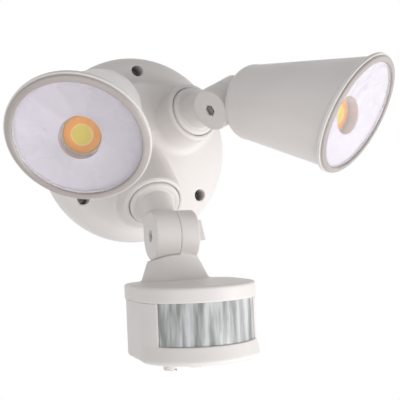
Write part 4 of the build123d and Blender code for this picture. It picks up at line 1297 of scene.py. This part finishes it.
# %% [markdown]
# ## Floor, backdrop and light
# A pale floor lies well below the light and fades out at its edge. The world is white to the
# camera, in reflections and through the clear covers, until a ray has scattered once. To
# everything else it is a soft grey, brighter from below than from above. Four large soft lamps
# stand round the front. The strongest is low on the right, so the lower right of the base is
# the brightest and the upper surfaces are the darkest.

# %% Stage
FLOOR_DROP, FLOOR_RADIUS = 420.0, 900.0
circle_points = np.stack([
    np.cos(np.linspace(0, 2 * math.pi, 64, endpoint=False)) * FLOOR_RADIUS,
    np.sin(np.linspace(0, 2 * math.pi, 64, endpoint=False)) * FLOOR_RADIUS - 150.0,
    np.full(64, -FLOOR_DROP),
], axis=-1) * MM
floor_mesh = bpy.data.meshes.new("floor")
floor_mesh.from_pydata(circle_points.tolist(), [], [list(range(64))])
floor = bpy.data.objects.new("floor", floor_mesh)
bpy.context.collection.objects.link(floor)

pale, tree, shader = start_material("pale_floor")
shader.inputs["Base Color"].default_value = linear("#F2F2F2")
shader.inputs["Roughness"].default_value = 0.8
where = add(tree, "ShaderNodeTexCoord").outputs["Object"]
reach = add(
    tree,
    "ShaderNodeVectorMath",
    operation="DISTANCE",
    values={1: (0.0, -0.15, -FLOOR_DROP * MM)},
    links={0: where},
)
fade = add(
    tree, "ShaderNodeMapRange", interpolation_type="SMOOTHSTEP",
    values={"From Min": 0.25, "From Max": 0.85, "To Min": 0.85, "To Max": 1.0},
    links={"Value": reach.outputs["Value"]},
)
clear = add(tree, "ShaderNodeBsdfTransparent")
soft_edge = add(
    tree,
    "ShaderNodeMixShader",
    links={0: fade.outputs["Result"], 1: shader.outputs["BSDF"], 2: clear.outputs["BSDF"]},
)
for node in tree.nodes:
    if node.bl_idname == "ShaderNodeOutputMaterial":
        tree.links.new(soft_edge.outputs["Shader"], node.inputs["Surface"])
floor_mesh.materials.append(pale)

# %% World
AMBIENT_BELOW, AMBIENT_ABOVE = 0.58, 0.34
world = bpy.data.worlds.new("studio")
bpy.context.scene.world = world
world.use_nodes = True
tree = world.node_tree
tree.nodes.clear()
ray = add(tree, "ShaderNodeLightPath")
seen = add(
    tree, "ShaderNodeMath", operation="ADD", use_clamp=True,
    links={0: ray.outputs["Is Camera Ray"], 1: ray.outputs["Is Transmission Ray"]},
)
seen = add(
    tree, "ShaderNodeMath", operation="ADD", use_clamp=True,
    links={0: seen.outputs["Value"], 1: ray.outputs["Is Glossy Ray"]},
)
unscattered = add(
    tree, "ShaderNodeMath", operation="LESS_THAN", values={1: 0.5}, links={0: ray.outputs["Diffuse Depth"]}
)
seen = add(
    tree, "ShaderNodeMath", operation="MULTIPLY",
    links={0: seen.outputs["Value"], 1: unscattered.outputs["Value"]},
)
heading = add(
    tree, "ShaderNodeSeparateXYZ", links={"Vector": add(tree, "ShaderNodeTexCoord").outputs["Generated"]}
)
dimmer_above = add(
    tree, "ShaderNodeMapRange",
    values={"From Min": -1.0, "From Max": 1.0, "To Min": AMBIENT_BELOW, "To Max": AMBIENT_ABOVE},
    links={"Value": heading.outputs["Z"]},
)
ambient = add(
    tree, "ShaderNodeBackground", values={"Color": linear("#FFFFFF")},
    links={"Strength": dimmer_above.outputs["Result"]},
)
bright = add(tree, "ShaderNodeBackground", values={"Color": linear("#FFFFFF"), "Strength": 1.0})
mix = add(
    tree,
    "ShaderNodeMixShader",
    links={0: seen.outputs["Value"], 1: ambient.outputs["Background"], 2: bright.outputs["Background"]},
)
add(tree, "ShaderNodeOutputWorld", links={"Surface": mix.outputs["Shader"]})

# %% Lamps


def soft_lamp(name, place_mm, target_mm, size_mm, watts):
    """A square area lamp that looks at a point: its z axis points away from the target."""
    data = bpy.data.lights.new(name, "AREA")
    data.shape = "SQUARE"
    data.size = size_mm * MM
    data.energy = watts
    lamp = bpy.data.objects.new(name, data)
    bpy.context.collection.objects.link(lamp)
    back = unit(np.asarray(place_mm, float) - target_mm)
    side = unit(np.cross((0.0, 0.0, 1.0), back))
    lamp.matrix_world = stand(side, np.cross(back, side), back, place_mm)
    return lamp


AIM, LAMP_SIZE = (0.0, -80.0, 0.0), 900.0
soft_lamp("low_right_softbox", (900.0, -900.0, -500.0), AIM, LAMP_SIZE, 8.0)
soft_lamp("right_side", (1100.0, -300.0, -300.0), AIM, LAMP_SIZE, 1.6)
soft_lamp("from_below", (300.0, -700.0, -1000.0), AIM, LAMP_SIZE, 3.8)
soft_lamp("low_left_fill", (-700.0, -900.0, -300.0), AIM, LAMP_SIZE, 2.9)

bpy.context.scene.view_settings.view_transform = "Standard"
